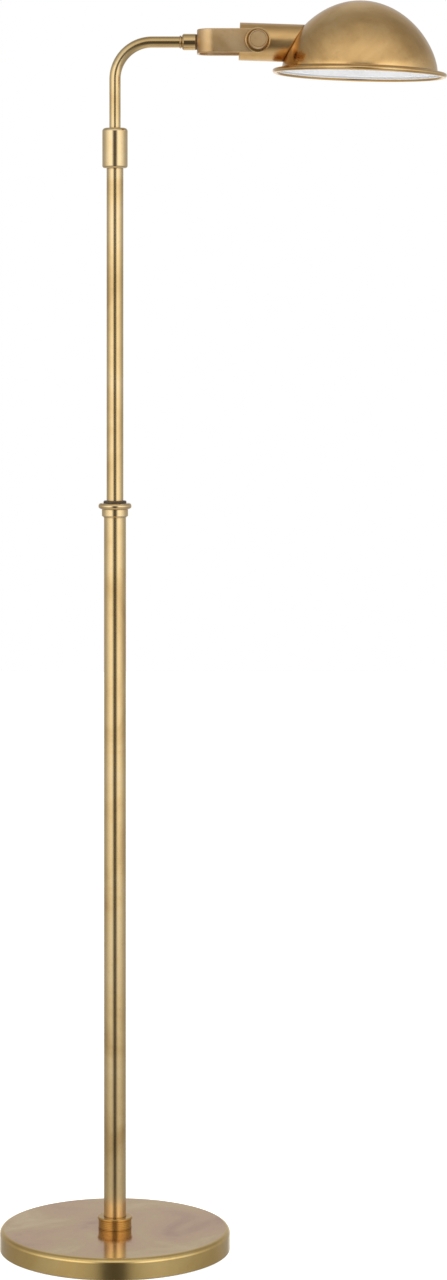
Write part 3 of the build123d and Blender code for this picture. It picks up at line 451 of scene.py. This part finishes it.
iron = plain_surface("dipped_cast_iron", (0.035, 0.035, 0.038), 0.62, grain=90.0, relief=0.6, metal=0.6)
felt = plain_surface("black_felt", (0.022, 0.020, 0.019), 0.95, grain=900.0, relief=0.9, depth=0.0004)
rubber = plain_surface("black_rubber", (0.018, 0.017, 0.016), 0.55, grain=300.0)
zinc = plain_surface("zinc_plate", (0.60, 0.59, 0.56), 0.32, grain=220.0, metal=1.0, shift=0.10)
felt.node_tree.nodes["Principled BSDF"].inputs["Sheen Weight"].default_value = 0.4
coat(iron, "base_weight")
coat(felt, "base_pad")
coat(zinc, "column_rod", "column_washer", "column_nut")

# The cord gland is a moulded rubber bush pressed through the back of the base.  Its
# flange bears on the shell and its bore is open for the lead.
gland_low, gland_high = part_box("cord_gland")
gland_z = (gland_low.z + gland_high.z) / 2
gland_flange_r = (gland_high.z - gland_low.z) / 2
GLAND_BORE = 3.3 * MM
GLAND_BARREL = 5.5 * MM
GLAND_FLANGE_T = 1.5 * MM
gland_l = gland_high.y - gland_low.y
cord_gland = turned("cord_gland", rounded(
    [(GLAND_BORE, 0), (GLAND_BARREL, 0), (GLAND_BARREL, gland_l - GLAND_FLANGE_T),
     (gland_flange_r, gland_l - GLAND_FLANGE_T), (gland_flange_r, gland_l), (GLAND_BORE, gland_l),
     (GLAND_BORE, 0)],
    [0.3 * MM, 0.2 * MM, 0.2 * MM, 0.6 * MM, 0.5 * MM, 0.3 * MM]), (0, gland_low.y, gland_z), (0, 1, 0), 96)
fit(cord_gland, rubber, "stand", "black_rubber", "cord_gland")


# ---------------------------------------------------------------------- foot collar, lower tube
# The collar is turned from bar, with five shallow grooves and a wider lip on top; it slides
# over the tube and hides the joint with the base.  The tube is drawn 25 mm brass.

TURNED_BRASS = ((0.70, 0.47, 0.21), (0.81, 0.59, 0.30), (0.86, 0.67, 0.39))
DRAWN_BRASS = ((0.66, 0.45, 0.20), (0.80, 0.585, 0.29), (0.85, 0.65, 0.36))
turned_brass = aged_brass("turned_brass", TURNED_BRASS, rough=0.13, lathe=0.3)
# A darker, deeper orange copy of the turned brass: painted shade, and the base's glow painted in as a
# reflection.  Its crevice darkening, partly tarnish and partly painted shade, is at full strength.
SHADED_COLLAR_BRASS = ((0.54, 0.31, 0.09), (0.70, 0.43, 0.13), (0.76, 0.49, 0.17))
shaded_collar_brass = aged_brass("shaded_collar_brass", SHADED_COLLAR_BRASS, rough=0.13, lathe=0.3, tarnish_and_shade=1.0)
drawn_brass = aged_brass("drawn_brass", DRAWN_BRASS, rough=0.19, drawn=0.3)

collar_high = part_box("foot_collar")[1]
tube_low, tube_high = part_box("lower_tube")
lower_r = tube_high.x
lip_r, collar_top = collar_high.x, collar_high.z
LIP_H = 2.2 * MM
COLLAR_STEP = 1.1 * MM    # the body stands in from the lip
GROOVES = 5
GROOVE_PITCH = 2.0 * MM
GROOVE_W = 0.6 * MM
GROOVE_DEPTH = 0.4 * MM
GROOVE_START = 0.7        # the first groove's height, in pitches
GROOVE_EDGE = 0.12 * MM
body_r = lip_r - COLLAR_STEP

groove_z = base_top + GROOVE_PITCH * (np.arange(GROOVES) + GROOVE_START)
grooves = np.stack([groove_z, groove_z, groove_z + GROOVE_W, groove_z + GROOVE_W], axis=1).ravel()
groove_r = np.tile([body_r, body_r - GROOVE_DEPTH, body_r - GROOVE_DEPTH, body_r], GROOVES)
collar_corners = [(lower_r, base_top), (body_r, base_top), *zip(groove_r, grooves),
                  (body_r, collar_top - LIP_H), (lip_r, collar_top - LIP_H), (lip_r, collar_top),
                  (lower_r, collar_top), (lower_r, base_top)]
collar_radii = [0.15 * MM, *[GROOVE_EDGE] * len(grooves), 0.1 * MM, 0.3 * MM, 0.9 * MM, 0.3 * MM, 0.15 * MM]
foot_collar = turned("foot_collar", rounded(collar_corners, collar_radii, steps=4, hold=0.00003))
fit(foot_collar, shaded_collar_brass, "stand", "aged_brass", "foot_collar")


TUBE_EDGE = 0.2 * MM


def tube_outline(inner, outer, low, high):
    """The wall of a straight tube, its four edges rounded."""
    middle = (inner, (low + high) / 2)
    return rounded([middle, (inner, low), (outer, low), (outer, high), (inner, high), middle],
                   [TUBE_EDGE] * 4, steps=4)


LOWER_WALL = 1.2 * MM
lower_tube = turned("lower_tube", tube_outline(lower_r - LOWER_WALL, lower_r, tube_low.z, tube_high.z))
fit(lower_tube, drawn_brass, "stand", "aged_brass", "lower_tube")
coat(zinc, "column_plug")


# -------------------------------------------------------------------------------- twist clamp
# A turned collar is soldered over the tube's top.  Its taper runs down to the tube, a round
# bead of a ring screws on it, and a dark nylon collet grips the upper tube inside.

neck_low, neck_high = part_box("clamp_collar")
ring_low, ring_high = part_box("clamp_ring")
collet_low, collet_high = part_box("clamp_collet")
neck_r = neck_high.x
ring_r = ring_high.x
NECK_TAPER = 2.0 * MM
THREAD_R = 13.2 * MM
COLLET_LIP_H = 2.6 * MM
COLLET_PLAY = 0.3 * MM
RUN = 0.05 * MM           # clearance between pieces that turn or slide in each other
RING_ROUND = 0.46         # the ring's edges, as a share of its height

clamp_collar = turned("clamp_collar", rounded(
    [(lower_r, neck_low.z + NECK_TAPER), (lower_r, neck_low.z), (neck_r - NECK_TAPER, neck_low.z),
     (neck_r, neck_low.z + NECK_TAPER), (neck_r, ring_low.z), (THREAD_R, ring_low.z),
     (THREAD_R, neck_high.z), (lower_r - LOWER_WALL, neck_high.z),
     (lower_r - LOWER_WALL, neck_low.z + NECK_TAPER), (lower_r, neck_low.z + NECK_TAPER)],
    [0.3 * MM, 0.9 * MM, 0.7 * MM, 0.35 * MM, 0.1 * MM, 0.3 * MM, 0.2 * MM, 0.1 * MM, 0.1 * MM]))
fit(clamp_collar, turned_brass, "stand", "aged_brass", "clamp_collar")

ring_h = ring_high.z - ring_low.z
ring_bore = THREAD_R + RUN
bore_middle = (ring_bore, (ring_low.z + ring_high.z) / 2)
clamp_ring = turned("clamp_ring", rounded(
    [bore_middle, (ring_bore, ring_low.z), (ring_r, ring_low.z), (ring_r, ring_high.z),
     (ring_bore, ring_high.z), bore_middle],
    [0.2 * MM, ring_h * RING_ROUND, ring_h * RING_ROUND, 0.4 * MM], steps=14))
fit(clamp_ring, turned_brass, "twist_ring", "aged_brass", "clamp_ring")

nylon = plain_surface("dark_nylon", (0.075, 0.055, 0.035), 0.42, grain=260.0, relief=0.15)
column_low, column_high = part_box("upper_tube")
upper_r = column_high.x
collet_lip_r = collet_high.x
collet_r = lower_r - LOWER_WALL - COLLET_PLAY
collet_bore = upper_r + RUN
grip_middle = (collet_bore, (collet_low.z + collet_high.z) / 2)
lip_foot = collet_high.z - COLLET_LIP_H
clamp_collet = turned("clamp_collet", rounded(
    [grip_middle, (collet_bore, collet_low.z), (collet_r, collet_low.z), (collet_r, lip_foot),
     (collet_lip_r, lip_foot), (collet_lip_r, collet_high.z), (collet_bore, collet_high.z), grip_middle],
    [0.2 * MM, 0.3 * MM, 0.2 * MM, 0.3 * MM, 1.0 * MM, 0.3 * MM]))
fit(clamp_collet, nylon, "stand", "dark_nylon", "clamp_collet")


# ------------------------------------------------------------------- upper tube, swivel collar
# The upper tube is 19 mm drawn brass with a nylon guide on its foot.  A solid turned barrel
# is fixed on its top by a grub screw at the back, and the arm turns inside the barrel.

UPPER_WALL = 1.0 * MM
upper_tube = turned("upper_tube", tube_outline(upper_r - UPPER_WALL, upper_r, column_low.z, column_high.z))
fit(upper_tube, drawn_brass, "upper_column", "aged_brass", "upper_tube")
coat(nylon, "guide_bush")

barrel_low, barrel_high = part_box("swivel_collar")
barrel_r = barrel_high.x
arm_low, arm_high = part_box("arm_tube")
ARM_R = 6.35 * MM
BARREL_FOOT_R = 3.0 * MM
BARREL_TOP_R = 4.0 * MM
swivel_collar = turned("swivel_collar", rounded(
    [(upper_r, column_high.z), (upper_r, barrel_low.z), (barrel_r, barrel_low.z), (barrel_r, barrel_high.z),
     (ARM_R + RUN, barrel_high.z), (ARM_R + RUN, column_high.z), (upper_r, column_high.z)],
    [0.3 * MM, BARREL_FOOT_R, BARREL_TOP_R, 0.4 * MM, 0.1 * MM, 0.1 * MM], steps=10))
fit(swivel_collar, turned_brass, "upper_column", "aged_brass", "swivel_collar")
coat(zinc, "collar_screw", "stop_pin", "swivel_stem", "thrust_washer", "spring_washer", "stop_washer",
     "stem_nut")


# --------------------------------------------------------------------------------- the arm
# Half-inch brass tube bent to a quarter circle, with a small bead soldered on near its end
# and a turned ferrule that carries the yoke on a hollow rod.

BEND_R = 42.0 * MM
ARM_WALL = 1.2 * MM
arm_z = arm_high.z - ARM_R
sweep = np.linspace(0.0, np.pi / 2, 41)
bend = np.stack([BEND_R - BEND_R * np.cos(sweep), arm_z - BEND_R + BEND_R * np.sin(sweep)], axis=1)
arm_line = np.vstack([np.linspace((0.0, arm_low.z), (0.0, arm_z - BEND_R), 12)[:-1], bend,
                      np.linspace(bend[-1], (arm_high.x, arm_z), 8)[1:]])


def bent_tube(name, line, wall, around=72):
    """A tube carried along a line in the XZ plane: outside, over the end, and back inside.

    A point stands line(s) + r * (cos(a) * n(s) + sin(a) * Y), n being square to the line.
    """
    tangent = np.gradient(line, axis=0)
    tangent /= np.linalg.norm(tangent, axis=1)[:, None]
    square = np.stack([-tangent[:, 1], np.zeros(len(line)), tangent[:, 0]], axis=1)
    centre = np.stack([line[:, 0], np.zeros(len(line)), line[:, 1]], axis=1)
    angle = np.linspace(0.0, 2.0 * np.pi, around, endpoint=False)
    spoke = (np.cos(angle)[None, :, None] * square[:, None]
             + np.sin(angle)[None, :, None] * np.array([0.0, 1.0, 0.0]))
    outside = centre[:, None] + ARM_R * spoke
    inside = (centre[:, None] + (ARM_R - wall) * spoke)[::-1]
    points = np.concatenate([outside, inside, outside[:1]])
    return skin(name, points)


arm_tube = bent_tube("arm_tube", arm_line, ARM_WALL)
fit(arm_tube, drawn_brass, "arm", "aged_brass", "arm_tube")

bead_low, bead_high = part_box("arm_bead")
bead_w = bead_high.x - bead_low.x
bead_round = bead_w * 0.4
arm_bead = turned("arm_bead", rounded(
    [(ARM_R, bead_w / 2), (ARM_R, 0), (bead_high.y, 0), (bead_high.y, bead_w), (ARM_R, bead_w),
     (ARM_R, bead_w / 2)],
    [0.1 * MM, bead_round, bead_round, 0.1 * MM]), (bead_low.x, 0, arm_z), (1, 0, 0), 96)
fit(arm_bead, turned_brass, "arm", "aged_brass", "arm_bead")

ferrule_low, ferrule_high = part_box("arm_ferrule")
ferrule_l = ferrule_high.x - ferrule_low.x
ferrule_r = ferrule_high.y
FERRULE_CHAMFER = 1.4 * MM
ROD_R = 5.0 * MM
arm_ferrule = turned("arm_ferrule", rounded(
    [(ARM_R, ferrule_l / 2), (ARM_R, 0), (ferrule_r - FERRULE_CHAMFER, 0), (ferrule_r, FERRULE_CHAMFER),
     (ferrule_r, ferrule_l), (ROD_R, ferrule_l), (ROD_R, ferrule_l / 2), (ARM_R, ferrule_l / 2)],
    [0.2 * MM, 0.3 * MM, 0.5 * MM, 0.5 * MM, 0.1 * MM, 0.1 * MM]),
    (ferrule_low.x, 0, arm_z), (1, 0, 0), 120)
fit(arm_ferrule, turned_brass, "arm", "aged_brass", "arm_ferrule")

spacer_low, spacer_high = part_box("yoke_spacer")
RUB_GAP = 0.03 * MM    # faces that rub stand just clear, so that they don't cross as they turn
spacer_t = spacer_high.x - spacer_low.x - RUB_GAP
yoke_spacer = turned("yoke_spacer", rounded(
    [(ROD_R, spacer_t / 2), (ROD_R, 0), (spacer_high.y, 0), (spacer_high.y, spacer_t), (ROD_R, spacer_t),
     (ROD_R, spacer_t / 2)],
    [0.1 * MM, 0.3 * MM, 0.3 * MM, 0.1 * MM]), (spacer_low.x, 0, arm_z), (1, 0, 0), 96)
fit(yoke_spacer, nylon, "arm", "dark_nylon", "yoke_spacer")
coat(turned_brass, "yoke_nut", "yoke_washer", "yoke_rod")
coat(zinc, "roll_pin")


# -------------------------------------------------------------------------------- the yoke
# A strip of 27 x 3 mm brass bent to a U.  Its edges are eased all along and its two ends
# are rounded over about the pivot.

yoke_low, yoke_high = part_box("yoke")
strap_h = yoke_high.z - yoke_low.z
end_r = strap_h / 2
half_w = yoke_high.y
STRAP_T = 3.0 * MM
STRAP_EDGE = 1.0 * MM
CORNER_R = 19.0 * MM
YOKE_STEPS = 40


def strap_line():
    """The strap's middle line in plan, as points and outward normals: leg, bend, back, bend, leg."""
    middle_r = CORNER_R - STRAP_T / 2
    back_x = yoke_low.x + STRAP_T / 2
    leg_y = half_w - STRAP_T / 2
    reach = yoke_high.x - end_r
    ease = np.sin(np.linspace(0.0, np.pi / 2, YOKE_STEPS))[::-1]
    tip_x = reach + end_r * ease
    leg_x = np.linspace(reach, back_x + middle_r, 14)[1:]
    angle = np.linspace(0.0, np.pi / 2, 25)[1:]
    bend_x = back_x + middle_r - middle_r * np.sin(angle)
    bend_y = -(leg_y - middle_r) - middle_r * np.cos(angle)
    front = np.concatenate([np.stack([tip_x, np.full_like(tip_x, -leg_y)], axis=1),
                            np.stack([leg_x, np.full_like(leg_x, -leg_y)], axis=1),
                            np.stack([bend_x, bend_y], axis=1)])
    middle = np.stack([np.full(5, back_x), np.linspace(bend_y[-1], -bend_y[-1], 7)[1:-1]], axis=1)
    back = front[::-1] * [1.0, -1.0]
    line = np.vstack([front, middle, back])
    tangent = np.gradient(line, axis=0)
    tangent[:YOKE_STEPS] = (-1.0, 0.0)
    tangent[-YOKE_STEPS:] = (1.0, 0.0)
    tangent /= np.linalg.norm(tangent, axis=1)[:, None]
    rise = np.clip(line[:, 0] - reach, 0.0, end_r)
    half = np.sqrt(np.clip(end_r**2 - rise**2, 1e-12, None))
    return line, np.stack([tangent[:, 1], -tangent[:, 0]], axis=1), half


def strap_section(half, edge):
    """The strap's section at each row: a rectangle 2 * half high with rounded corners.

    Columns go round the section; a corner's arc has the edge radius, or the half height
    where the strap runs out at its tip.
    """
    angle = np.linspace(0.0, np.pi / 2, 8)
    starts = np.arange(4)[:, None] * np.pi / 2
    turn = (starts + angle).ravel()
    sign_out = np.repeat([1.0, -1.0, -1.0, 1.0], 8)
    sign_up = np.repeat([1.0, 1.0, -1.0, -1.0], 8)
    radius = np.minimum(edge, half)[:, None]
    out = sign_out * (STRAP_T / 2 - edge) + edge * np.cos(turn)
    up = sign_up * (half[:, None] - radius) + radius * np.sin(turn)
    return np.broadcast_to(out, up.shape), up


strap, outward, half_height = strap_line()
section_out, section_up = strap_section(half_height, STRAP_EDGE)
strap_points = np.stack([strap[:, None, 0] + section_out * outward[:, None, 0],
                         strap[:, None, 1] + section_out * outward[:, None, 1],
                         arm_z + section_up], axis=-1)
tips = [strap_points[end].mean(axis=1, keepdims=True).repeat(strap_points.shape[1], axis=1)
        for end in (slice(0, 1), slice(-1, None))]
strap_points = np.concatenate([tips[0], strap_points, tips[1]])
# A paler, lighter copy of the brass, its tone raised to paint in light and the strap's pale highlight.
LIGHTENED_STRAP_BRASS = ((0.72, 0.47, 0.22), (0.86, 0.60, 0.32), (0.92, 0.68, 0.40))
lightened_strap_brass = aged_brass("lightened_strap_brass", LIGHTENED_STRAP_BRASS, rough=0.42, lathe=0.3)
yoke = skin("yoke", strap_points)
fit(yoke, lightened_strap_brass, "yoke_bracket", "aged_brass", "yoke")
coat(nylon, "pivot_washers")


# ------------------------------------------------------------------------------ the shade
# Spun from one disc of brass: a deep dome, a turned-out lip and a rolled edge.  The outside
# and the roll are rubbed brass, and the inside is stoved white down to the roll.

HEAD_DROOP = np.radians(1.9)
tilt_joint = next(joint for joint in frame["joints"] if joint["name"] == "head_tilt")
pivot = np.array(tilt_joint["pos_m"])
head_x = np.array([np.cos(HEAD_DROOP), 0.0, -np.sin(HEAD_DROOP)])
head_z = np.array([np.sin(HEAD_DROOP), 0.0, np.cos(HEAD_DROOP)])
SIDE = np.array([0.0, 1.0, 0.0])
SHADE_X = 117.0 * MM
RIM_DROP = 34.4 * MM
DOME_R = 88.0 * MM
DOME_H = 85.1 * MM
DOME_POWER = 1.25
FOOT_H = 5.9 * MM
SHADE_T = 1.2 * MM
ROLL_R = 2.7 * MM
LIP_R = 98.5 * MM
CREASE_R = 1.6 * MM       # the inside corner between the dome and its lip
shade_origin = pivot + SHADE_X * head_x - RIM_DROP * head_z


def dome_curve(radius, height, foot, steps=72):
    """The dome's section from crown to foot: (radius * sin a, foot + rise * cos a ** power)."""
    turn = np.linspace(0.0, np.pi / 2, steps)
    return np.stack([radius * np.sin(turn), foot + (height - foot) * np.cos(turn) ** DOME_POWER], axis=1)


def shade_outline():
    """The shade's section, from the crown out over the roll to its innermost point, and then
    the enamelled part from there back up inside.

    The roll is a circle of ROLL_R that the outline follows from just past its top.
    """
    outside = dome_curve(DOME_R, DOME_H, FOOT_H)
    inside = dome_curve(DOME_R - SHADE_T, DOME_H - SHADE_T, FOOT_H - SHADE_T * 0.5)[::-1]
    middle = np.array([LIP_R - ROLL_R, ROLL_R])
    top_turn = np.linspace(np.pi * 0.56, -np.pi * 0.5, 34)
    low_turn = np.linspace(-np.pi * 0.5, -np.pi, 16)[1:]
    inner_turn = np.linspace(-np.pi, -np.pi * 1.30, 10)[1:]
    over, under, up = [middle + ROLL_R * np.stack([np.cos(turn), np.sin(turn)], axis=1)
                       for turn in (top_turn, low_turn, inner_turn)]
    turn = np.linspace(0.0, np.pi / 2, 8)[1:-1, None]
    foot = outside[-1] + [CREASE_R, 0] - CREASE_R * np.hstack([np.cos(turn), np.sin(turn) - 1.0])
    return np.vstack([outside[:-1], foot, over, under]), np.vstack([up, inside])


outer_skin, inner_skin = shade_outline()
shade = turned("shade", np.vstack([outer_skin, inner_skin]), shade_origin, head_z, around=288)
HEAD_BRASS = ((0.66, 0.395, 0.15), (0.82, 0.525, 0.22), (0.90, 0.625, 0.30))
dome_brass = aged_brass("dome_brass", HEAD_BRASS, rough=0.19, patch=13.0, lathe=0.3)
enamel = plain_surface("white_enamel", (0.76, 0.76, 0.77), 0.28, grain=40.0, relief=0.03, shift=0.015)
enamel.node_tree.nodes["Principled BSDF"].inputs["Coat Weight"].default_value = 0.3
fit(shade, dome_brass, "head", "shade_brass", "shade")
shade.data.materials.append(enamel)
outer_run = np.linalg.norm(np.diff(outer_skin, axis=0), axis=1).sum()
second_material(shade.data, outer_run - 0.001 * MM)


# ------------------------------------------------------------------------- the lamp housing
# A drawn brass cylinder, coped at its front end to the dome and soldered there, with a
# flat cap let into its back end round a rubber grommet.

housing_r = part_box("lamp_housing")[1].y
HOUSING_WALL = 1.6 * MM
HOUSING_BACK = -20.0 * MM
COPE_BITE = 0.4 * MM      # how far the coped end sinks into the dome's face


def cope(angle):
    """How far along the head's axis each line of the cylinder meets the dome.

    The line stands at height h over the rim plane and y to the side.  There the dome's
    radius is r(h), so the line meets it at SHADE_X - sqrt(r(h)**2 - y**2).
    """
    side, up = housing_r * np.sin(angle), housing_r * np.cos(angle)
    share = (RIM_DROP + up - FOOT_H) / (DOME_H - FOOT_H)
    dome_r = DOME_R * np.sqrt(1.0 - share ** (2.0 / DOME_POWER))
    return SHADE_X - np.sqrt(dome_r**2 - side**2) + COPE_BITE


angle = np.linspace(0.0, 2.0 * np.pi, 160, endpoint=False)
front_end = cope(angle)
EDGE_R = 0.35 * MM
housing_inner = housing_r - HOUSING_WALL
round_x = HOUSING_BACK + EDGE_R
corner = np.linspace(0.0, np.pi / 2, 6)
back_rows = [(HOUSING_BACK + 4.0 * MM, housing_inner), (round_x, housing_inner),
             *zip(round_x - EDGE_R * np.sin(corner), housing_inner + EDGE_R * (1 - np.cos(corner))),
             *zip(round_x - EDGE_R * np.cos(corner), housing_r - EDGE_R + EDGE_R * np.sin(corner)),
             (round_x + EDGE_R, housing_r)]
spokes = np.sin(angle)[:, None] * SIDE + np.cos(angle)[:, None] * head_z
rows = [pivot + x * head_x + r * spokes for x, r in back_rows]
for share in np.linspace(0.05, 1.0, 24):
    reach = back_rows[-1][0] + share * (front_end - back_rows[-1][0])
    rows.append(pivot + reach[:, None] * head_x + housing_r * spokes)
for share in np.linspace(1.0, 0.0, 3):
    reach = back_rows[0][0] + share * (front_end - back_rows[0][0])
    rows.append(pivot + reach[:, None] * head_x + housing_inner * spokes)
lamp_housing = skin("lamp_housing", np.array(rows))
housing_brass = aged_brass("housing_brass", HEAD_BRASS, rough=0.31, lathe=0.3)
fit(lamp_housing, housing_brass, "head", "aged_brass", "lamp_housing")
coat(housing_brass, "housing_cap", "pivot_hubs")
coat(rubber, "lead_grommet")


# ------------------------------------------------------------------------------- the pivot
# At the front a round flange nut holds the dimmer's threaded neck, which is the pivot; its
# rim is a rounded bead about a shallow dish.  The knob stands out of the dish.  At the back
# a slotted screw does the same work.

flange_low, flange_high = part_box("pivot_flange")
flange_r = (flange_high.x - flange_low.x) / 2
flange_back, flange_face = -flange_high.y, -flange_low.y
DISH_R = 11.9 * MM
DISH_DEPTH = 1.5 * MM
rim_round = (flange_r - DISH_R) / 2 * 0.98
hole_middle = (ROD_R, (flange_back + flange_face) / 2)
pivot_flange = turned("pivot_flange", rounded(
    [hole_middle, (ROD_R, flange_back), (flange_r, flange_back), (flange_r, flange_face),
     (DISH_R, flange_face), (DISH_R, flange_face - DISH_DEPTH), (ROD_R, flange_face - DISH_DEPTH),
     hole_middle],
    [0.1 * MM, 0.4 * MM, rim_round, rim_round, 0.3 * MM, 0.1 * MM], steps=9), pivot, -SIDE, 160)
pivot_brass = aged_brass("pivot_brass", TURNED_BRASS, rough=0.24, lathe=0.3, tarnish_and_shade=0.35)
fit(pivot_flange, pivot_brass, "head", "aged_brass", "pivot_flange")

knob_low, knob_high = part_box("dimmer_knob")
knob_r = (knob_high.x - knob_low.x) / 2
knob_back, knob_face = -knob_high.y, -knob_low.y
KNOB_CHAMFER = 0.9 * MM
FACE_GROOVE_R = 9.2 * MM
FACE_GROOVE = 0.5 * MM
dimmer_knob = turned("dimmer_knob", rounded(
    [(0, knob_back), (knob_r, knob_back), (knob_r, knob_face - KNOB_CHAMFER),
     (knob_r - KNOB_CHAMFER, knob_face), (FACE_GROOVE_R, knob_face), (FACE_GROOVE_R, knob_face - FACE_GROOVE),
     (FACE_GROOVE_R - FACE_GROOVE, knob_face - FACE_GROOVE), (FACE_GROOVE_R - FACE_GROOVE, knob_face),
     (0, knob_face)],
    [0.3 * MM, 0.3 * MM, 0.15 * MM, 0.1 * MM, 0.1 * MM, 0.1 * MM, 0.15 * MM], hold=0.00002),
    pivot, -SIDE, 144)
# The knob's face takes the same lighter copy of the brass: painted light.
knob_brass = aged_brass("knob_brass", LIGHTENED_STRAP_BRASS, rough=0.46, lathe=0.3)
fit(dimmer_knob, knob_brass, "knob", "aged_brass", "dimmer_knob")

coat(pivot_brass, "pivot_screw")
phenolic = plain_surface("black_phenolic", (0.012, 0.011, 0.011), 0.4, grain=140.0)
coat(phenolic, "dimmer_body")
coat(zinc, "dimmer_shaft", "holder_plate", "holder_screws")


# ------------------------------------------------------------------- lampholder and bulb
# A glazed porcelain holder with a rolled brass screw shell, and a small frosted bulb lying
# along the housing's axis inside the dome.

porcelain = plain_surface("glazed_porcelain", (0.86, 0.85, 0.81), 0.18, grain=30.0, relief=0.05, shift=0.03)
coat(porcelain, "lampholder")
cap_metal = plain_surface("lamp_cap_brass", (0.72, 0.60, 0.38), 0.3, grain=240.0, metal=1.0, shift=0.08)
coat(cap_metal, "centre_contact")

HOLDER_MOUTH = 50.0 * MM
SHELL_FLOOR = 24.0 * MM
THREAD_PITCH = 3.6 * MM
SHELL_R = 14.2 * MM
SCREW_SHELL_T = 0.3 * MM
SHELL_THREAD = 0.5 * MM
CAP_R = 13.3 * MM
CAP_FOOT = 27.0 * MM
CAP_THREAD = 0.6 * MM
CAP_INSULATOR_R = 4.5 * MM


def thread_outline(radius, low, high, depth, steps=90):
    """A rolled round thread as seen from the side: radius less half a depth of cosine ripple."""
    along = np.linspace(low, high, steps)
    ripple = depth / 2 * (1.0 - np.cos(2 * np.pi * (along - low) / THREAD_PITCH))
    return np.stack([radius - ripple, along], axis=1)


shell_side = thread_outline(SHELL_R, SHELL_FLOOR, HOLDER_MOUTH - 2.0 * MM, SHELL_THREAD)
shell_inner = shell_side[::-1] - [SCREW_SHELL_T, 0]
screw_shell = turned("screw_shell", np.vstack([shell_side, shell_inner, shell_side[:1]]), pivot, head_x, 72)
fit(screw_shell, cap_metal, "head", "lamp_cap", "screw_shell")

cap_side = thread_outline(CAP_R, CAP_FOOT + 4.0 * MM, HOLDER_MOUTH, CAP_THREAD)
cap_foot = [(0, CAP_FOOT), (CAP_INSULATOR_R, CAP_FOOT)]
bulb_cap = turned("bulb_cap", np.vstack([cap_foot, cap_side, [(0, HOLDER_MOUTH)]]), pivot, head_x, 72)
fit(bulb_cap, cap_metal, "head", "lamp_cap", "bulb_cap")

frosted = plain_surface("frosted_glass", (0.93, 0.92, 0.90), 0.45, grain=50.0, relief=0.03, shift=0.01)
frosted_shader = frosted.node_tree.nodes["Principled BSDF"]
frosted_shader.inputs["Transmission Weight"].default_value = 0.35
frosted_shader.inputs["Subsurface Weight"].default_value = 0.3
frosted_shader.inputs["Subsurface Radius"].default_value = (0.004, 0.004, 0.004)
BULB_R = 23.9 * MM
BULB_L = 64.0 * MM
BULB_NECK = 13.0 * MM


def bulb_outline(steps=80):
    """The bulb's section: a ball at the tip, drawn in to the neck by half a cosine wave."""
    ball_x = HOLDER_MOUTH + BULB_L - BULB_R
    turn = np.linspace(0.0, np.pi * 0.5, steps)
    ball = np.stack([BULB_R * np.sin(turn), ball_x + BULB_R * np.cos(turn)], axis=1)
    share = np.linspace(0.0, 1.0, steps)[1:]
    flank = np.stack([BULB_NECK + (BULB_R - BULB_NECK) * (0.5 + 0.5 * np.cos(np.pi * share)),
                      ball_x - share * (ball_x - HOLDER_MOUTH)], axis=1)
    return np.vstack([ball, flank, [(0, HOLDER_MOUTH)]])


bulb_glass = turned("bulb_glass", bulb_outline(), pivot, head_x, 96)
fit(bulb_glass, frosted, "head", "frosted_glass", "bulb_glass")


# ------------------------------------------------------------------------------- the lead
# Two-core flex in a gold-brown sheath.  It comes up through the arm, crosses the open yoke
# with a little slack and enters the housing by its grommet.

sheath = plain_surface("lead_sheath", (0.16, 0.10, 0.045), 0.45, grain=120.0, relief=0.1)
coat(sheath, "arm_lead")

LEAD_R = 3.0 * MM
lead_start = np.array([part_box("arm_lead")[1].x - 1.0 * MM, 0.0, arm_z])
lead_end = pivot + (HOUSING_BACK + 3.0 * MM) * head_x
SLACK = 3.2 * MM


def jumper_line(steps=48):
    """The lead's middle line: straight from end to end, sagging by half a cosine wave."""
    share = np.linspace(0.0, 1.0, steps)[:, None]
    sag = SLACK * 0.5 * (1.0 - np.cos(2 * np.pi * share))
    return lead_start + share * (lead_end - lead_start) - sag * np.array([0.0, 0.0, 1.0])


def round_lead(name, line, radius, around=32):
    """A round flex along a line in the XZ plane, closed at both ends."""
    tangent = np.gradient(line, axis=0)
    tangent /= np.linalg.norm(tangent, axis=1)[:, None]
    square = np.cross(tangent, SIDE)
    angle = np.linspace(0.0, 2.0 * np.pi, around, endpoint=False)
    spoke = np.cos(angle)[None, :, None] * square[:, None] + np.sin(angle)[None, :, None] * SIDE
    body = line[:, None] + radius * spoke
    ends = [np.repeat(line[i][None], around, axis=0)[None] for i in (0, -1)]
    return skin(name, np.concatenate([ends[0], body, ends[1]]))


yoke_lead = round_lead("yoke_lead", jumper_line(), LEAD_R)
yoke_lead.data.materials.append(sheath)
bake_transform(yoke_lead)
